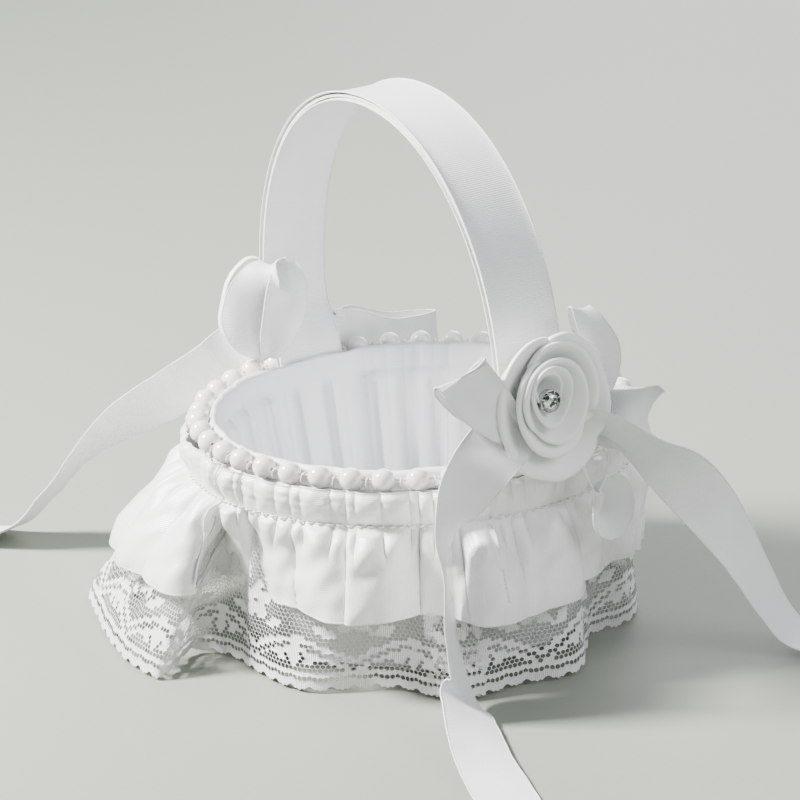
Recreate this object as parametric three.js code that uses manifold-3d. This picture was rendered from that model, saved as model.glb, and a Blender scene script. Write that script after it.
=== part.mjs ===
// A flower girl basket: a small round satin basket with a stiff ribbon-covered arch
// handle, a pearl rim, a gathered satin ruffle over a lace flounce, and a bow with a
// ribbon rosette at each foot of the handle.
// Millimetres, +Z up, origin at the centre of the base on the surface it stands on.
// The handle arches along X: the near foot is at +X and the far foot at -X.

import * as THREE from 'three';
import { mergeVertices } from 'three/addons/utils/BufferGeometryUtils.js';
import Module from 'manifold-3d';

// ---------------------------------------------------------------- driving dimensions
const GAP = 0.3;                      // clearance between pieces that touch

const RIM_RADIUS = 74;                // circle through the pearl centres
const RIM_HEIGHT = 74;                // height of the pearl centres
const BASE_TAPER = 14;                // the wall is this much narrower at the bottom
const WALL_THICKNESS = 1.8;           // stiff card wall
const BASE_THICKNESS = 2.0;           // stiff card base
const COVER_THICKNESS = 0.7;          // satin glued over the outside of the wall
const BASE_COVER_THICKNESS = 0.9;     // cloth-covered card under the base
const LINING_THICKNESS = 0.8;
const LINING_RISE = 1.5;              // the lining stands this far above the pearl centres
const PAD_THICKNESS = 6;

const PEARL_DIAMETER = 8;
const PEARL_COUNT = 41;
const PEARL_THREAD = 1.2;

const BINDING_THICKNESS = 2.2;        // folded cloth over the top edge of the wall
const BINDING_DROP = 6;               // how far it comes down the outside

const HANDLE_RISE = 112;              // centre of the strap's top above the pearl centres
const HANDLE_BULGE = 8.5;             // the arch is wider than its feet by this on each side
const HANDLE_BULGE_RISE = 26;         // height of the widest place above the pearl centres
const HANDLE_ROUNDNESS = 2.1;         // exponent of the arch: 2 is an ellipse
const HANDLE_LEAN = 3;                // the top of the arch leans this far towards -X
const HANDLE_FOOT_DEPTH = 38;         // length of strap hidden between wall and lining
const STRAP_WIDTH = 25;
const STRAP_CORE_WIDTH = 24;
const STRAP_CORE_THICKNESS = 0.9;
const STRAP_RIBBON_THICKNESS = 0.35;
const GLUE_WIDTH = 8;                 // pads of set glue behind the strap's feet
const GLUE_HEIGHT = 20;
const GLUE_DROP = 8;

const STITCH_DROP = 16;               // gathering line of the ruffle below the pearl centres
const RUFFLE_LENGTH = 30;             // from the gathering line straight down to the hem
const RUFFLE_FLARE = 16;              // the hem stands out past the pearl circle by this
const RUFFLE_SPREAD = 10;             // the hem is pulled this far to one side
const RUFFLE_THICKNESS = 3;
const GATHER_THREAD = 0.9;

const LACE_DROP = 21;                 // top of the lace below the pearl centres
const LACE_CLEARANCE = 0.8;           // the lace hem stands this far above the surface
const LACE_FLARE = 14;
const LACE_SPREAD = 14;
const LACE_THICKNESS = 2.2;
const LACE_TAPE_WIDTH = 6;
const LACE_TAPE_THICKNESS = 0.6;
const SPREAD_DIRECTION = THREE.MathUtils.degToRad(-115);

const RIBBON_WIDTH = 20;              // bow loops and tails
const RIBBON_BAND = 1.2;              // thickness of a tail as a plain solid

const KNOT_THICKNESS = 3.6;
const KNOT_WIDTH = 15;
const KNOT_HEIGHT = 12;
const KNOT_DROP = 4;                  // the knot sits this far below the rosette's middle

const FELT_THICKNESS = 1.2;
const FELT_SIZE = 0.7;                // as a share of its rosette
const PETAL_DEPTH = 9.5;              // outer petals, front to back
const MIDDLE_PETAL_STEP = 2.5;        // the inner turns stand forward of the outer one
const INNER_PETAL_STEP = 3.5;
const INNER_TURN = 2.2;               // radial width of the innermost turn of petals
const MIDDLE_TURN = 5;
const HEART_LIFT = 1.5;               // each turn sits this much higher than the one around it
const STONE_RADIUS = 3.4;
const STONE_CROWN = 1.1;
const CLAW_WALL = 0.5;
const CLAW_DEPTH = 3;

// Rosette centres: lift is above the tops of the pearls, y is along the rim.
const NEAR_FLOWER = { radius: 23.5, y: -2.5, lift: 20.5 };
const FAR_FLOWER = { radius: 18, y: -5, lift: 13 };

// Bow loops: length is from the knot to the loop's end, depth is how far the loop stands
// open, width is the ribbon's, beside is how far past the knot's edge the loop starts,
// lift is above the tops of the pearls and inset is how far it sits behind what it hangs on.
const NEAR_LEFT_LOOP = { length: 30, depth: 6.4, width: RIBBON_WIDTH, beside: 0, lift: 26.5, inset: 0 };
const NEAR_RIGHT_LOOP = { length: 46, depth: 9, width: RIBBON_WIDTH, beside: 0, lift: 8.5, inset: 1 };
const NEAR_UPPER_LOOP = { length: 27, depth: 6, width: 14, beside: 16, lift: 23.5, inset: 3 };
const NEAR_LOWER_LOOP = { length: 24, depth: 6, width: RIBBON_WIDTH, beside: 16, lift: -8, inset: 2 };
const FAR_RIGHT_LOOP = { length: 52, depth: 9, width: 18, beside: 4, lift: 6, inset: 0 };
const FAR_LEFT_LOOP = { length: 28, depth: 6, width: RIBBON_WIDTH, y: -14, lift: 3, clearance: 4 };

const RING_SEGMENTS = 48;
const FLOWER_SEGMENTS = 28;

// ---------------------------------------------------------------- materials
const finish = (color, roughness, metalness = 0) =>
  new THREE.MeshStandardMaterial({ color, roughness, metalness });

const satin = finish(0xf2f2ee, 0.38);
const liningSatin = finish(0xe6e9ee, 0.5);
const lace = finish(0xf4f4f0, 0.8);
const thread = finish(0xf0f0ea, 0.7);
const pearl = finish(0xeeeee6, 0.22);
const board = finish(0xd9d4c8, 0.85);
const padding = finish(0xe9ebee, 0.75);
const stripPlastic = finish(0xe4e4e0, 0.5);
const glue = finish(0xdedcc8, 0.3);
const felt = finish(0xf0efe9, 0.95);
const claw = finish(0xc9cbd0, 0.25, 1);
const crystal = finish(0xdfe6ea, 0.05);

// ---------------------------------------------------------------- shared helpers
const group = new THREE.Group();

function add(name, geometry, material, parent = group) {
  const mesh = new THREE.Mesh(geometry, material);
  mesh.name = name;
  parent.add(mesh);
  return mesh;
}

// A ring or disc turned about Z from a section of [radius, height] corners. A section
// that leaves the axis closes on itself.
function turned(corners, segments = RING_SEGMENTS) {
  const section = corners.map(([radius, height]) => new THREE.Vector2(radius, height));
  const onAxis = section[0].x === 0 && section[section.length - 1].x === 0;
  if (!onAxis) section.push(section[0].clone());
  return new THREE.LatheGeometry(section, segments).rotateX(Math.PI / 2);
}

// Outer radius of the stiff wall at a height.
const WALL_BOTTOM = BASE_COVER_THICKNESS + GAP;
const WALL_TOP = RIM_HEIGHT - PEARL_DIAMETER / 2 - 2 * GAP - BINDING_THICKNESS;
const WALL_TOP_RADIUS = RIM_RADIUS - WALL_THICKNESS;
const BASE_RADIUS = RIM_RADIUS - BASE_TAPER;
const WALL_SLOPE = (WALL_TOP_RADIUS - BASE_RADIUS) / (WALL_TOP - WALL_BOTTOM);
const wallOuter = (height) => BASE_RADIUS + (height - WALL_BOTTOM) * WALL_SLOPE;
const wallInner = (height) => wallOuter(height) - WALL_THICKNESS;

// A flat strap stands inside the round wall, clear of the binding and the pearls.
const STRAP_THICKNESS = STRAP_CORE_THICKNESS + 2 * (STRAP_RIBBON_THICKNESS + GAP);
const insideChord = (radius, width) => Math.sqrt(radius ** 2 - (width / 2) ** 2);
const pearlInside = RIM_RADIUS - PEARL_DIAMETER / 2;
const PEARL_TOP = RIM_HEIGHT + PEARL_DIAMETER / 2;
const STRAP_OUTER_FACE = Math.min(
  insideChord(wallInner(WALL_TOP) - 2 * GAP, STRAP_WIDTH),
  insideChord(pearlInside, STRAP_WIDTH) - GAP,
);
const strapCentre = STRAP_OUTER_FACE - STRAP_THICKNESS / 2;
const LINING_INSET = wallInner(WALL_TOP) - (STRAP_OUTER_FACE - STRAP_THICKNESS - GAP);
const liningOuter = (height) => wallInner(height) - LINING_INSET;

// ---------------------------------------------------------------- body of the basket
// Returns the radius of the binding's outer face, which the ruffle hangs against.
function bodyOfBasket() {
  const baseTop = WALL_BOTTOM + BASE_THICKNESS;
  add('base_cover', turned([[0, 0], [BASE_RADIUS, 0], [BASE_RADIUS, BASE_COVER_THICKNESS],
    [0, BASE_COVER_THICKNESS]]), satin);

  const baseRadius = wallInner(WALL_BOTTOM) - GAP;
  add('core_base', turned([[0, WALL_BOTTOM], [baseRadius, WALL_BOTTOM], [baseRadius, baseTop],
    [0, baseTop]]), board);

  add('core_wall', turned([[wallInner(WALL_BOTTOM), WALL_BOTTOM], [wallOuter(WALL_BOTTOM), WALL_BOTTOM],
    [wallOuter(WALL_TOP), WALL_TOP], [wallInner(WALL_TOP), WALL_TOP]]), board);

  const coverBottom = WALL_BOTTOM + 1;
  const coverTop = WALL_TOP - 1;
  const coverFace = (height, offset) => wallOuter(height) + GAP + offset;
  add('outer_cover', turned([[coverFace(coverBottom, 0), coverBottom],
    [coverFace(coverBottom, COVER_THICKNESS), coverBottom],
    [coverFace(coverTop, COVER_THICKNESS), coverTop], [coverFace(coverTop, 0), coverTop]]), satin);

  // Folded over the top edge of the wall, with one leg down the outside.
  const bindingBottom = WALL_TOP + GAP;
  const bindingTop = bindingBottom + BINDING_THICKNESS;
  const legInner = wallOuter(WALL_TOP) + COVER_THICKNESS + 2 * GAP;
  const legOuter = legInner + COVER_THICKNESS;
  const bindingInner = wallInner(WALL_TOP) - GAP;
  add('rim_binding', turned([[bindingInner, bindingBottom], [legInner, bindingBottom],
    [legInner, WALL_TOP - BINDING_DROP], [legOuter, WALL_TOP - BINDING_DROP],
    [legOuter, bindingTop], [bindingInner, bindingTop]]), satin);

  const liningBottom = baseTop + GAP;
  const liningTop = RIM_HEIGHT + LINING_RISE;
  const liningFlare = liningOuter(WALL_TOP);
  add('lining_wall', turned([[liningOuter(liningBottom) - LINING_THICKNESS, liningBottom],
    [liningOuter(liningBottom), liningBottom], [liningFlare, WALL_TOP], [liningFlare, liningTop],
    [liningFlare - LINING_THICKNESS, liningTop], [liningFlare - LINING_THICKNESS, WALL_TOP]]), liningSatin);

  // A soft disc with a rounded top edge, crowned a little in the middle.
  const padRadius = liningOuter(liningBottom) - LINING_THICKNESS - GAP;
  const padTop = liningBottom + PAD_THICKNESS;
  const roundOver = PAD_THICKNESS / 2;
  add('floor_pad', turned([[0, liningBottom], [padRadius - 1, liningBottom],
    [padRadius, liningBottom + roundOver / 2], [padRadius, padTop - roundOver],
    [padRadius - roundOver, padTop - GAP], [padRadius / 2, padTop], [0, padTop]]), padding);

  return legOuter;
}

// ---------------------------------------------------------------- pearl rim
function toManifold(wasm, geometry) {
  const bare = geometry.clone();
  bare.deleteAttribute('normal');
  bare.deleteAttribute('uv');
  const merged = mergeVertices(bare, 1e-4);
  return new wasm.Manifold(new wasm.Mesh({
    numProp: 3,
    vertProperties: Float32Array.from(merged.attributes.position.array),
    triVerts: Uint32Array.from(merged.index.array),
  }));
}

function fromManifold(solid) {
  const { vertProperties, triVerts } = solid.getMesh();
  const geometry = new THREE.BufferGeometry();
  geometry.setAttribute('position', new THREE.BufferAttribute(vertProperties, 3));
  geometry.setIndex(new THREE.BufferAttribute(triVerts, 1));
  return geometry;
}

// Beads strung on one thread that runs through their centres.
async function pearlStrand() {
  const wasm = await Module();
  wasm.setup();
  const threadRing = new THREE.TorusGeometry(RIM_RADIUS, PEARL_THREAD / 2, 4, PEARL_COUNT);
  let strand = toManifold(wasm, threadRing.translate(0, 0, RIM_HEIGHT));
  for (let index = 0; index < PEARL_COUNT; index += 1) {
    const angle = ((index + 0.5) / PEARL_COUNT) * 2 * Math.PI;
    const bead = new THREE.OctahedronGeometry(PEARL_DIAMETER / 2, 1).rotateZ(angle);
    bead.translate(RIM_RADIUS * Math.cos(angle), RIM_RADIUS * Math.sin(angle), RIM_HEIGHT);
    strand = strand.add(toManifold(wasm, bead));
  }
  add('pearl_strand', fromManifold(strand), pearl);
}

// ---------------------------------------------------------------- ruffle and lace
// Pulls a skirt to one side, from nothing at its top to the full spread at its hem.
function pulledAside(geometry, top, hem, spread) {
  const position = geometry.attributes.position;
  for (let index = 0; index < position.count; index += 1) {
    const drop = THREE.MathUtils.clamp((top - position.getZ(index)) / (top - hem), 0, 1);
    position.setX(index, position.getX(index) + drop * spread * Math.cos(SPREAD_DIRECTION));
    position.setY(index, position.getY(index) + drop * spread * Math.sin(SPREAD_DIRECTION));
  }
  return geometry;
}

function satinRuffle(bindingFace) {
  const stitchHeight = RIM_HEIGHT - STITCH_DROP;
  const hemHeight = stitchHeight - RUFFLE_LENGTH;
  const hemRadius = RIM_RADIUS + RUFFLE_FLARE;
  const headingTop = RIM_HEIGHT - PEARL_DIAMETER / 2 - 2 * GAP;
  const headingInner = bindingFace + GAP;
  const headingOuter = headingInner + RUFFLE_THICKNESS;
  const ruffle = turned([[headingInner, headingTop], [headingInner, stitchHeight],
    [hemRadius - RUFFLE_THICKNESS, hemHeight], [hemRadius, hemHeight],
    [headingOuter, stitchHeight], [headingOuter, headingTop]]);
  add('satin_ruffle', pulledAside(ruffle, stitchHeight, hemHeight, RUFFLE_SPREAD), satin);

  const threadRadius = headingOuter + GAP + GATHER_THREAD / 2;
  const gathering = new THREE.TorusGeometry(threadRadius, GATHER_THREAD / 2, 5, RING_SEGMENTS);
  add('gathering_thread', gathering.translate(0, 0, stitchHeight + GATHER_THREAD), thread);
}

function laceFlounce() {
  const laceTop = RIM_HEIGHT - LACE_DROP;
  const hemRadius = RIM_RADIUS + LACE_FLARE;
  const tapeInner = wallOuter(laceTop) + COVER_THICKNESS + 2 * GAP;
  const tapeOuter = tapeInner + LACE_TAPE_THICKNESS;
  add('lace_tape', turned([[tapeInner, laceTop - LACE_TAPE_WIDTH],
    [tapeOuter, laceTop - LACE_TAPE_WIDTH], [tapeOuter, laceTop], [tapeInner, laceTop]]), thread);

  const laceInner = tapeOuter + GAP;
  const flounce = turned([[laceInner, laceTop], [hemRadius - LACE_THICKNESS, LACE_CLEARANCE],
    [hemRadius, LACE_CLEARANCE], [laceInner + LACE_THICKNESS, laceTop]]);
  add('lace_flounce', pulledAside(flounce, laceTop, LACE_CLEARANCE, LACE_SPREAD), lace);
}

// ---------------------------------------------------------------- handle
// A band of even thickness along a line in the XZ plane, with its width along Y.
// offset moves it sideways off the line, so that bands can be laid on each other.
function band(line, thickness, width, offset = 0) {
  const face = (side) => line.map((point, index) => {
    const before = line[Math.max(index - 1, 0)];
    const after = line[Math.min(index + 1, line.length - 1)];
    const along = after.clone().sub(before).normalize();
    return new THREE.Vector2(point.x - along.y * side, point.y + along.x * side);
  });
  const left = face(offset + thickness / 2);
  const right = face(offset - thickness / 2);
  const outline = new THREE.Shape([...left, ...right.reverse()]);
  const solid = new THREE.ExtrudeGeometry(outline, { depth: width, bevelEnabled: false });
  return solid.rotateX(Math.PI / 2).translate(0, width / 2, 0);
}

// Near half of the strap's centre line: up the wall, out over the rim, and round the
// quarter of the arch to its top.
function nearHalfLine() {
  const shoulder = RIM_HEIGHT + 1;
  const widest = strapCentre + HANDLE_BULGE;
  const widestHeight = RIM_HEIGHT + HANDLE_BULGE_RISE;
  const easing = (widestHeight - shoulder) * 0.4;
  const rise = new THREE.CubicBezierCurve(
    new THREE.Vector2(strapCentre, shoulder),
    new THREE.Vector2(strapCentre + HANDLE_BULGE * 0.1, shoulder + easing),
    new THREE.Vector2(widest, widestHeight - easing),
    new THREE.Vector2(widest, widestHeight),
  );
  const quarterSteps = 16;
  const quarter = Array.from({ length: quarterSteps }, (_, step) => {
    const turn = ((step + 1) / quarterSteps) * (Math.PI / 2);
    const power = 2 / HANDLE_ROUNDNESS;
    const across = step + 1 < quarterSteps ? Math.cos(turn) ** power : 0;
    const arcHeight = HANDLE_RISE - HANDLE_BULGE_RISE;
    return new THREE.Vector2(widest * across, widestHeight + arcHeight * Math.sin(turn) ** power);
  });
  return [
    new THREE.Vector2(strapCentre - HANDLE_FOOT_DEPTH * WALL_SLOPE, WALL_TOP - HANDLE_FOOT_DEPTH),
    new THREE.Vector2(strapCentre, WALL_TOP),
    ...rise.getPoints(7),
    ...quarter,
  ];
}

// The whole centre line, from the far foot to the near foot, with the lean put in.
function archLine() {
  const nearHalf = nearHalfLine();
  const farHalf = nearHalf.slice(0, -1).map((point) => new THREE.Vector2(-point.x, point.y));
  const share = (height) => Math.max(height - RIM_HEIGHT, 0) / HANDLE_RISE;
  return [...farHalf, ...nearHalf.reverse()].map((point) =>
    new THREE.Vector2(point.x - HANDLE_LEAN * share(point.y) ** 2, point.y));
}

// How far out the strap's outer face stands at a height, on the near (+1) or far (-1) side.
function strapFaceAt(height, side) {
  const leg = archLine().filter((point) => point.x * side > 0).sort((a, b) => a.y - b.y);
  const above = leg.findIndex((point) => point.y > height);
  const share = (height - leg[above - 1].y) / (leg[above].y - leg[above - 1].y);
  const centre = THREE.MathUtils.lerp(leg[above - 1].x, leg[above].x, share) * side;
  return centre + STRAP_THICKNESS / 2;
}

function handle() {
  const line = archLine();
  const ribbonOffset = (STRAP_CORE_THICKNESS + STRAP_RIBBON_THICKNESS) / 2 + GAP;
  add('handle_core', band(line, STRAP_CORE_THICKNESS, STRAP_CORE_WIDTH), stripPlastic);
  add('handle_outer_ribbon', band(line, STRAP_RIBBON_THICKNESS, STRAP_WIDTH, ribbonOffset), satin);
  add('handle_inner_ribbon', band(line, STRAP_RIBBON_THICKNESS, STRAP_WIDTH, -ribbonOffset), satin);

  // The flat strap touches the round wall with its edges, and set glue fills the middle.
  const glueTop = WALL_TOP - GLUE_DROP;
  const radius = wallInner(glueTop);
  const strapFace = (height) => STRAP_OUTER_FACE - (WALL_TOP - height) * WALL_SLOPE;
  const room = insideChord(radius, GLUE_WIDTH) - strapFace(glueTop) - 2 * GAP;
  const glueLine = (side) => [glueTop - GLUE_HEIGHT, glueTop].map((height) =>
    new THREE.Vector2(side * (strapFace(height) + GAP + room / 2), height));
  add('handle_glue_near', band(glueLine(1).reverse(), room, GLUE_WIDTH), glue);
  add('handle_glue_far', band(glueLine(-1), room, GLUE_WIDTH), glue);
}

// ---------------------------------------------------------------- bow loops
// A plain solid with the outline of a ribbon loop, from the knot at the origin out along
// +X, with the ribbon's width along Z.
function ribbonLoop({ length, depth, width }) {
  const steps = 22;
  const outline = Array.from({ length: steps }, (_, step) => {
    const turn = (step / steps) * 2 * Math.PI;
    const taper = Math.abs(Math.sin(turn / 2));
    return new THREE.Vector2((length * (1 - Math.cos(turn))) / 2, (depth / 2) * Math.sin(turn) * taper);
  });
  const shape = new THREE.Shape(outline);
  const solid = new THREE.ExtrudeGeometry(shape, { depth: width, bevelEnabled: false });
  return solid.translate(0, 0, -width / 2);
}

// A loop lying level towards -Y or +Y, with the ribbon's width upright.
const levelLoop = (sizes, side) => ribbonLoop(sizes).rotateZ((side * Math.PI) / 2);

// A loop standing up (+1) or hanging down (-1), with the ribbon's width along Y.
const uprightLoop = (sizes, direction) =>
  ribbonLoop(sizes).rotateX(Math.PI / 2).rotateY((-direction * Math.PI) / 2);

// ---------------------------------------------------------------- rosettes
// Three turns of petals on a felt disc, facing +X, with a faceted stone in a claw cup at
// the heart of the spiral, which sits above the middle.
function rosette(prefix, radius, back) {
  const flower = new THREE.Group();
  const facing = (geometry, lift) => geometry.rotateY(Math.PI / 2).translate(0, 0, lift);
  const feltFront = back + FELT_THICKNESS;
  const petalBack = feltFront + GAP;
  const petalTurn = (inner, outer, depth) => turned([[inner, petalBack], [outer - 1, petalBack],
    [outer, petalBack + 1], [outer, petalBack + depth - 1.5], [(inner + outer) / 2, petalBack + depth],
    [inner, petalBack + depth - 0.5]], FLOWER_SEGMENTS);

  const innerHole = STONE_RADIUS + CLAW_WALL + GAP;
  const innerEdge = innerHole + INNER_TURN;
  const middleHole = innerEdge + HEART_LIFT / 2 + GAP;
  const middleEdge = middleHole + MIDDLE_TURN;
  const outerHole = middleEdge + HEART_LIFT + GAP;
  const middleLift = HEART_LIFT;
  const innerLift = middleLift + HEART_LIFT / 2;

  const feltRadius = radius * FELT_SIZE;
  const feltDisc = turned([[0, back], [feltRadius, back], [feltRadius, feltFront], [0, feltFront]],
    FLOWER_SEGMENTS);
  add(`${prefix}_felt`, facing(feltDisc, 0), felt, flower);
  add(`${prefix}_outer_petals`, facing(petalTurn(outerHole, radius, PETAL_DEPTH), 0), satin, flower);
  const middleTurn = petalTurn(middleHole, middleEdge, PETAL_DEPTH + MIDDLE_PETAL_STEP);
  add(`${prefix}_middle_petals`, facing(middleTurn, middleLift), satin, flower);
  const innerTurn = petalTurn(innerHole, innerEdge, PETAL_DEPTH + INNER_PETAL_STEP);
  add(`${prefix}_inner_petals`, facing(innerTurn, innerLift), satin, flower);

  const clawRadius = STONE_RADIUS + CLAW_WALL;
  const clawBottom = petalBack + PETAL_DEPTH + INNER_PETAL_STEP - CLAW_DEPTH;
  const clawTop = clawBottom + CLAW_DEPTH;
  const seat = clawBottom + CLAW_WALL;
  const cup = turned([[0, clawBottom], [clawRadius, clawBottom], [clawRadius, clawTop],
    [STONE_RADIUS, clawTop], [STONE_RADIUS, seat], [0, seat]], 16);
  add(`${prefix}_claw`, facing(cup, innerLift), claw, flower);

  const girdleRadius = STONE_RADIUS - GAP;
  const table = clawTop + STONE_CROWN;
  const stone = turned([[0, seat + GAP], [girdleRadius, clawTop - GAP], [girdleRadius * 0.6, table],
    [0, table]], 8);
  add(`${prefix}_stone`, facing(stone, innerLift), crystal, flower);
  return flower;
}

// Knot and rosette at one foot, built outward from the strap's face. Returns how far out
// the middle of the knot stands.
function knotAndRosette(foot, side, { radius, y, lift }) {
  const centreHeight = PEARL_TOP + lift;
  const knotHeight = centreHeight - KNOT_DROP;
  const knotBack = strapFaceAt(knotHeight + KNOT_HEIGHT / 2, side) + GAP;
  const knotMiddle = knotBack + KNOT_THICKNESS / 2;
  const knot = new THREE.BoxGeometry(KNOT_THICKNESS, KNOT_WIDTH, KNOT_HEIGHT);
  add(`bow_${foot}_knot`, knot.translate(side * knotMiddle, 0, knotHeight), satin);

  const flower = rosette(`rosette_${foot}`, radius, knotBack + KNOT_THICKNESS + GAP);
  flower.rotation.z = side > 0 ? 0 : Math.PI;
  flower.position.set(0, y, centreHeight);
  group.add(flower);
  return knotMiddle;
}

function bows() {
  const beside = KNOT_WIDTH / 2 + GAP;
  const nearKnot = knotAndRosette('near', 1, NEAR_FLOWER);
  const place = (name, loop, { beside: past, lift, inset }, behind, side) =>
    add(name, loop.translate(behind - inset, side * (beside + past), PEARL_TOP + lift), satin);

  place('bow_near_left_loop', levelLoop(NEAR_LEFT_LOOP, -1), NEAR_LEFT_LOOP, nearKnot, -1);
  place('bow_near_right_loop', levelLoop(NEAR_RIGHT_LOOP, 1), NEAR_RIGHT_LOOP, nearKnot, 1);
  place('bow_near_upper_loop', uprightLoop(NEAR_UPPER_LOOP, 1), NEAR_UPPER_LOOP, nearKnot, 1);
  place('bow_near_lower_loop', uprightLoop(NEAR_LOWER_LOOP, -1), NEAR_LOWER_LOOP,
    RIM_RADIUS + RUFFLE_FLARE, 1);

  const farKnot = knotAndRosette('far', -1, FAR_FLOWER);
  place('bow_far_right_loop', levelLoop(FAR_RIGHT_LOOP, 1), FAR_RIGHT_LOOP, -farKnot, 1);
  const insideStrap = strapCentre - STRAP_THICKNESS - FAR_LEFT_LOOP.clearance;
  add('bow_far_left_loop', uprightLoop(FAR_LEFT_LOOP, 1)
    .translate(-insideStrap, FAR_LEFT_LOOP.y, PEARL_TOP + FAR_LEFT_LOOP.lift), satin);
}

// ---------------------------------------------------------------- ribbon tails
// Each tail leaves its bow at start, sinks along its heading to the surface over a
// distance of reach, and lies flat for the length of run. top is above the pearl centres.
const FRONT_HEADING = -24;
const frontStart = new THREE.Vector2(RIM_RADIUS + 10, 0)
  .rotateAround(new THREE.Vector2(), THREE.MathUtils.degToRad(FRONT_HEADING));
const tails = {
  tail_near_front: { start: frontStart.toArray(), heading: FRONT_HEADING, top: 8, reach: 30, run: 84 },
  tail_near_side: { start: [RIM_RADIUS + 18, 35], heading: 64.5, top: 5, reach: 57, run: 38 },
  tail_far_side: { start: [-(RIM_RADIUS + 13), -24.6], heading: -139, top: -1, reach: 94, run: 34 },
  tail_far_back: { start: [-(RIM_RADIUS + 10.7), 21.3], heading: 117, top: -3, reach: 76, run: 36 },
};

function ribbonTails() {
  const rest = RIBBON_BAND / 2 + GAP;
  const steps = 14;
  for (const [name, { start, heading, top, reach, run }] of Object.entries(tails)) {
    const fall = RIM_HEIGHT + top - rest;
    const line = Array.from({ length: steps + 1 }, (_, step) => {
      const share = step / steps;
      return new THREE.Vector2(reach * share, rest + (fall * (1 + Math.cos(Math.PI * share))) / 2);
    });
    line.push(new THREE.Vector2(reach + run, rest));
    const solid = band(line, RIBBON_BAND, RIBBON_WIDTH).rotateZ(THREE.MathUtils.degToRad(heading));
    add(name, solid.translate(start[0], start[1], 0), satin);
  }
}

satinRuffle(bodyOfBasket());
await pearlStrand();
laceFlounce();
handle();
bows();
ribbonTails();

export default group;
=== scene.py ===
"""A flower girl basket, dressed in satin, lace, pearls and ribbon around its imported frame.

Lengths inside the classes are millimetres and become metres when a piece is made. The
basket stands on Z = 0, its handle arches along X, and its near foot is at +X.
"""

import logging
import math
from dataclasses import dataclass, field
from enum import Enum
from typing import Optional, Sequence

import bmesh
import bpy
import numpy as np
from mathutils import Matrix, Vector


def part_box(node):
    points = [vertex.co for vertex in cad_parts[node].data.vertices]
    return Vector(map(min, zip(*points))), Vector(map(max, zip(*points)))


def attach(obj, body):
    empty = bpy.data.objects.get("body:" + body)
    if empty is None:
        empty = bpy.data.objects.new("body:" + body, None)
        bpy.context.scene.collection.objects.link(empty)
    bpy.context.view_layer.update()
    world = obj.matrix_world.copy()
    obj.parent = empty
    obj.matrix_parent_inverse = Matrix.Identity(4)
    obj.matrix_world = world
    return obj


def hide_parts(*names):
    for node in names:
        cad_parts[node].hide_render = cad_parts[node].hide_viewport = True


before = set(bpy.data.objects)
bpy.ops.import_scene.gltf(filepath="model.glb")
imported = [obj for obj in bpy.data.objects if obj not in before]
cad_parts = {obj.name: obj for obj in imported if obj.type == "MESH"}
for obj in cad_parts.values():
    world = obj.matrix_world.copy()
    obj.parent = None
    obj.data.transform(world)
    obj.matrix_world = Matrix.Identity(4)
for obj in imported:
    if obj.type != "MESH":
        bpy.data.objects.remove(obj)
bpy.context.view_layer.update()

Array = np.ndarray
Vec = tuple[float, float, float]
Colour = tuple[float, float, float]
Cut = tuple[float, float]

MM = 0.001
ROOT = "root"
CLOTH_MAP = "cloth"
RIBBON_WIDTH = 20.0
RIBBON_THICKNESS = 0.35

log = logging.getLogger("basket")


class Slot(Enum):
    """The record's material slots, one passed along with each piece made here."""

    SATIN = "satin"
    PETAL = "petal_satin"
    LINING = "lining_satin"
    LACE = "lace"
    THREAD = "thread"
    PEARL = "pearl"
    PADDING = "padding"
    CLAW = "claw_metal"
    CRYSTAL = "crystal"


class Held(Enum):
    """How a sheet of cloth is held."""

    GATHERED = "gathered"
    STRETCHED = "stretched"
    FOLDED = "folded"
    HUNG = "hung"


# ------------------------------------------------------------------ the frame's places
def node_box(node: str) -> tuple[Array, Array]:
    """Lowest and highest corner of a frame node.

    Args:
        node: The node's name.

    Returns:
        Two points in millimetres.
    """
    low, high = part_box(node)
    return np.array(low) / MM, np.array(high) / MM


def middle(node: str) -> Array:
    """Middle of a frame node's box, in millimetres.

    Args:
        node: The node's name.

    Returns:
        One point.
    """
    low, high = node_box(node)
    return (low + high) / 2


# ------------------------------------------------------------------ smooth curves and noise
def spline(keys: Array, count: int, closed: bool = False) -> Array:
    """A smooth curve through every key, spaced evenly along its length.

    Args:
        keys: One row for each key. The first three columns (or two) are the place.
        count: Number of points wanted.
        closed: Whether the curve returns to its first key.

    Returns:
        An array of count rows with the keys' columns.
    """
    if closed:
        padded = np.vstack([keys[-1], keys, keys[0], keys[1]])
    else:
        padded = np.vstack([2 * keys[0] - keys[1], keys, 2 * keys[-1] - keys[-2]])
    spans = len(padded) - 3
    share = np.linspace(0, spans, spans * 40 + 1)
    start = np.minimum(share.astype(int), spans - 1)
    t = (share - start)[:, None]
    a, b, c, d = (padded[start + k] for k in range(4))
    fine = 0.5 * (2 * b + (c - a) * t + (2 * a - 5 * b + 4 * c - d) * t**2 + (3 * b - a - 3 * c + d) * t**3)
    place = fine[:, : min(3, fine.shape[1])]
    run = np.concatenate([[0], np.cumsum(np.linalg.norm(np.diff(place, axis=0), axis=1))])
    return sample(fine, run / run[-1], np.linspace(0, 1, count))


def sample(curve: Array, shares: Array, wanted: Array) -> Array:
    """Values of a curve at the wanted shares of its length.

    Args:
        curve: One row for each point.
        shares: The points' shares of the length, rising from 0 to 1.
        wanted: Shares to read at.

    Returns:
        One row for each wanted share.
    """
    return np.stack([np.interp(wanted, shares, column) for column in curve.T], axis=1)


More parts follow.
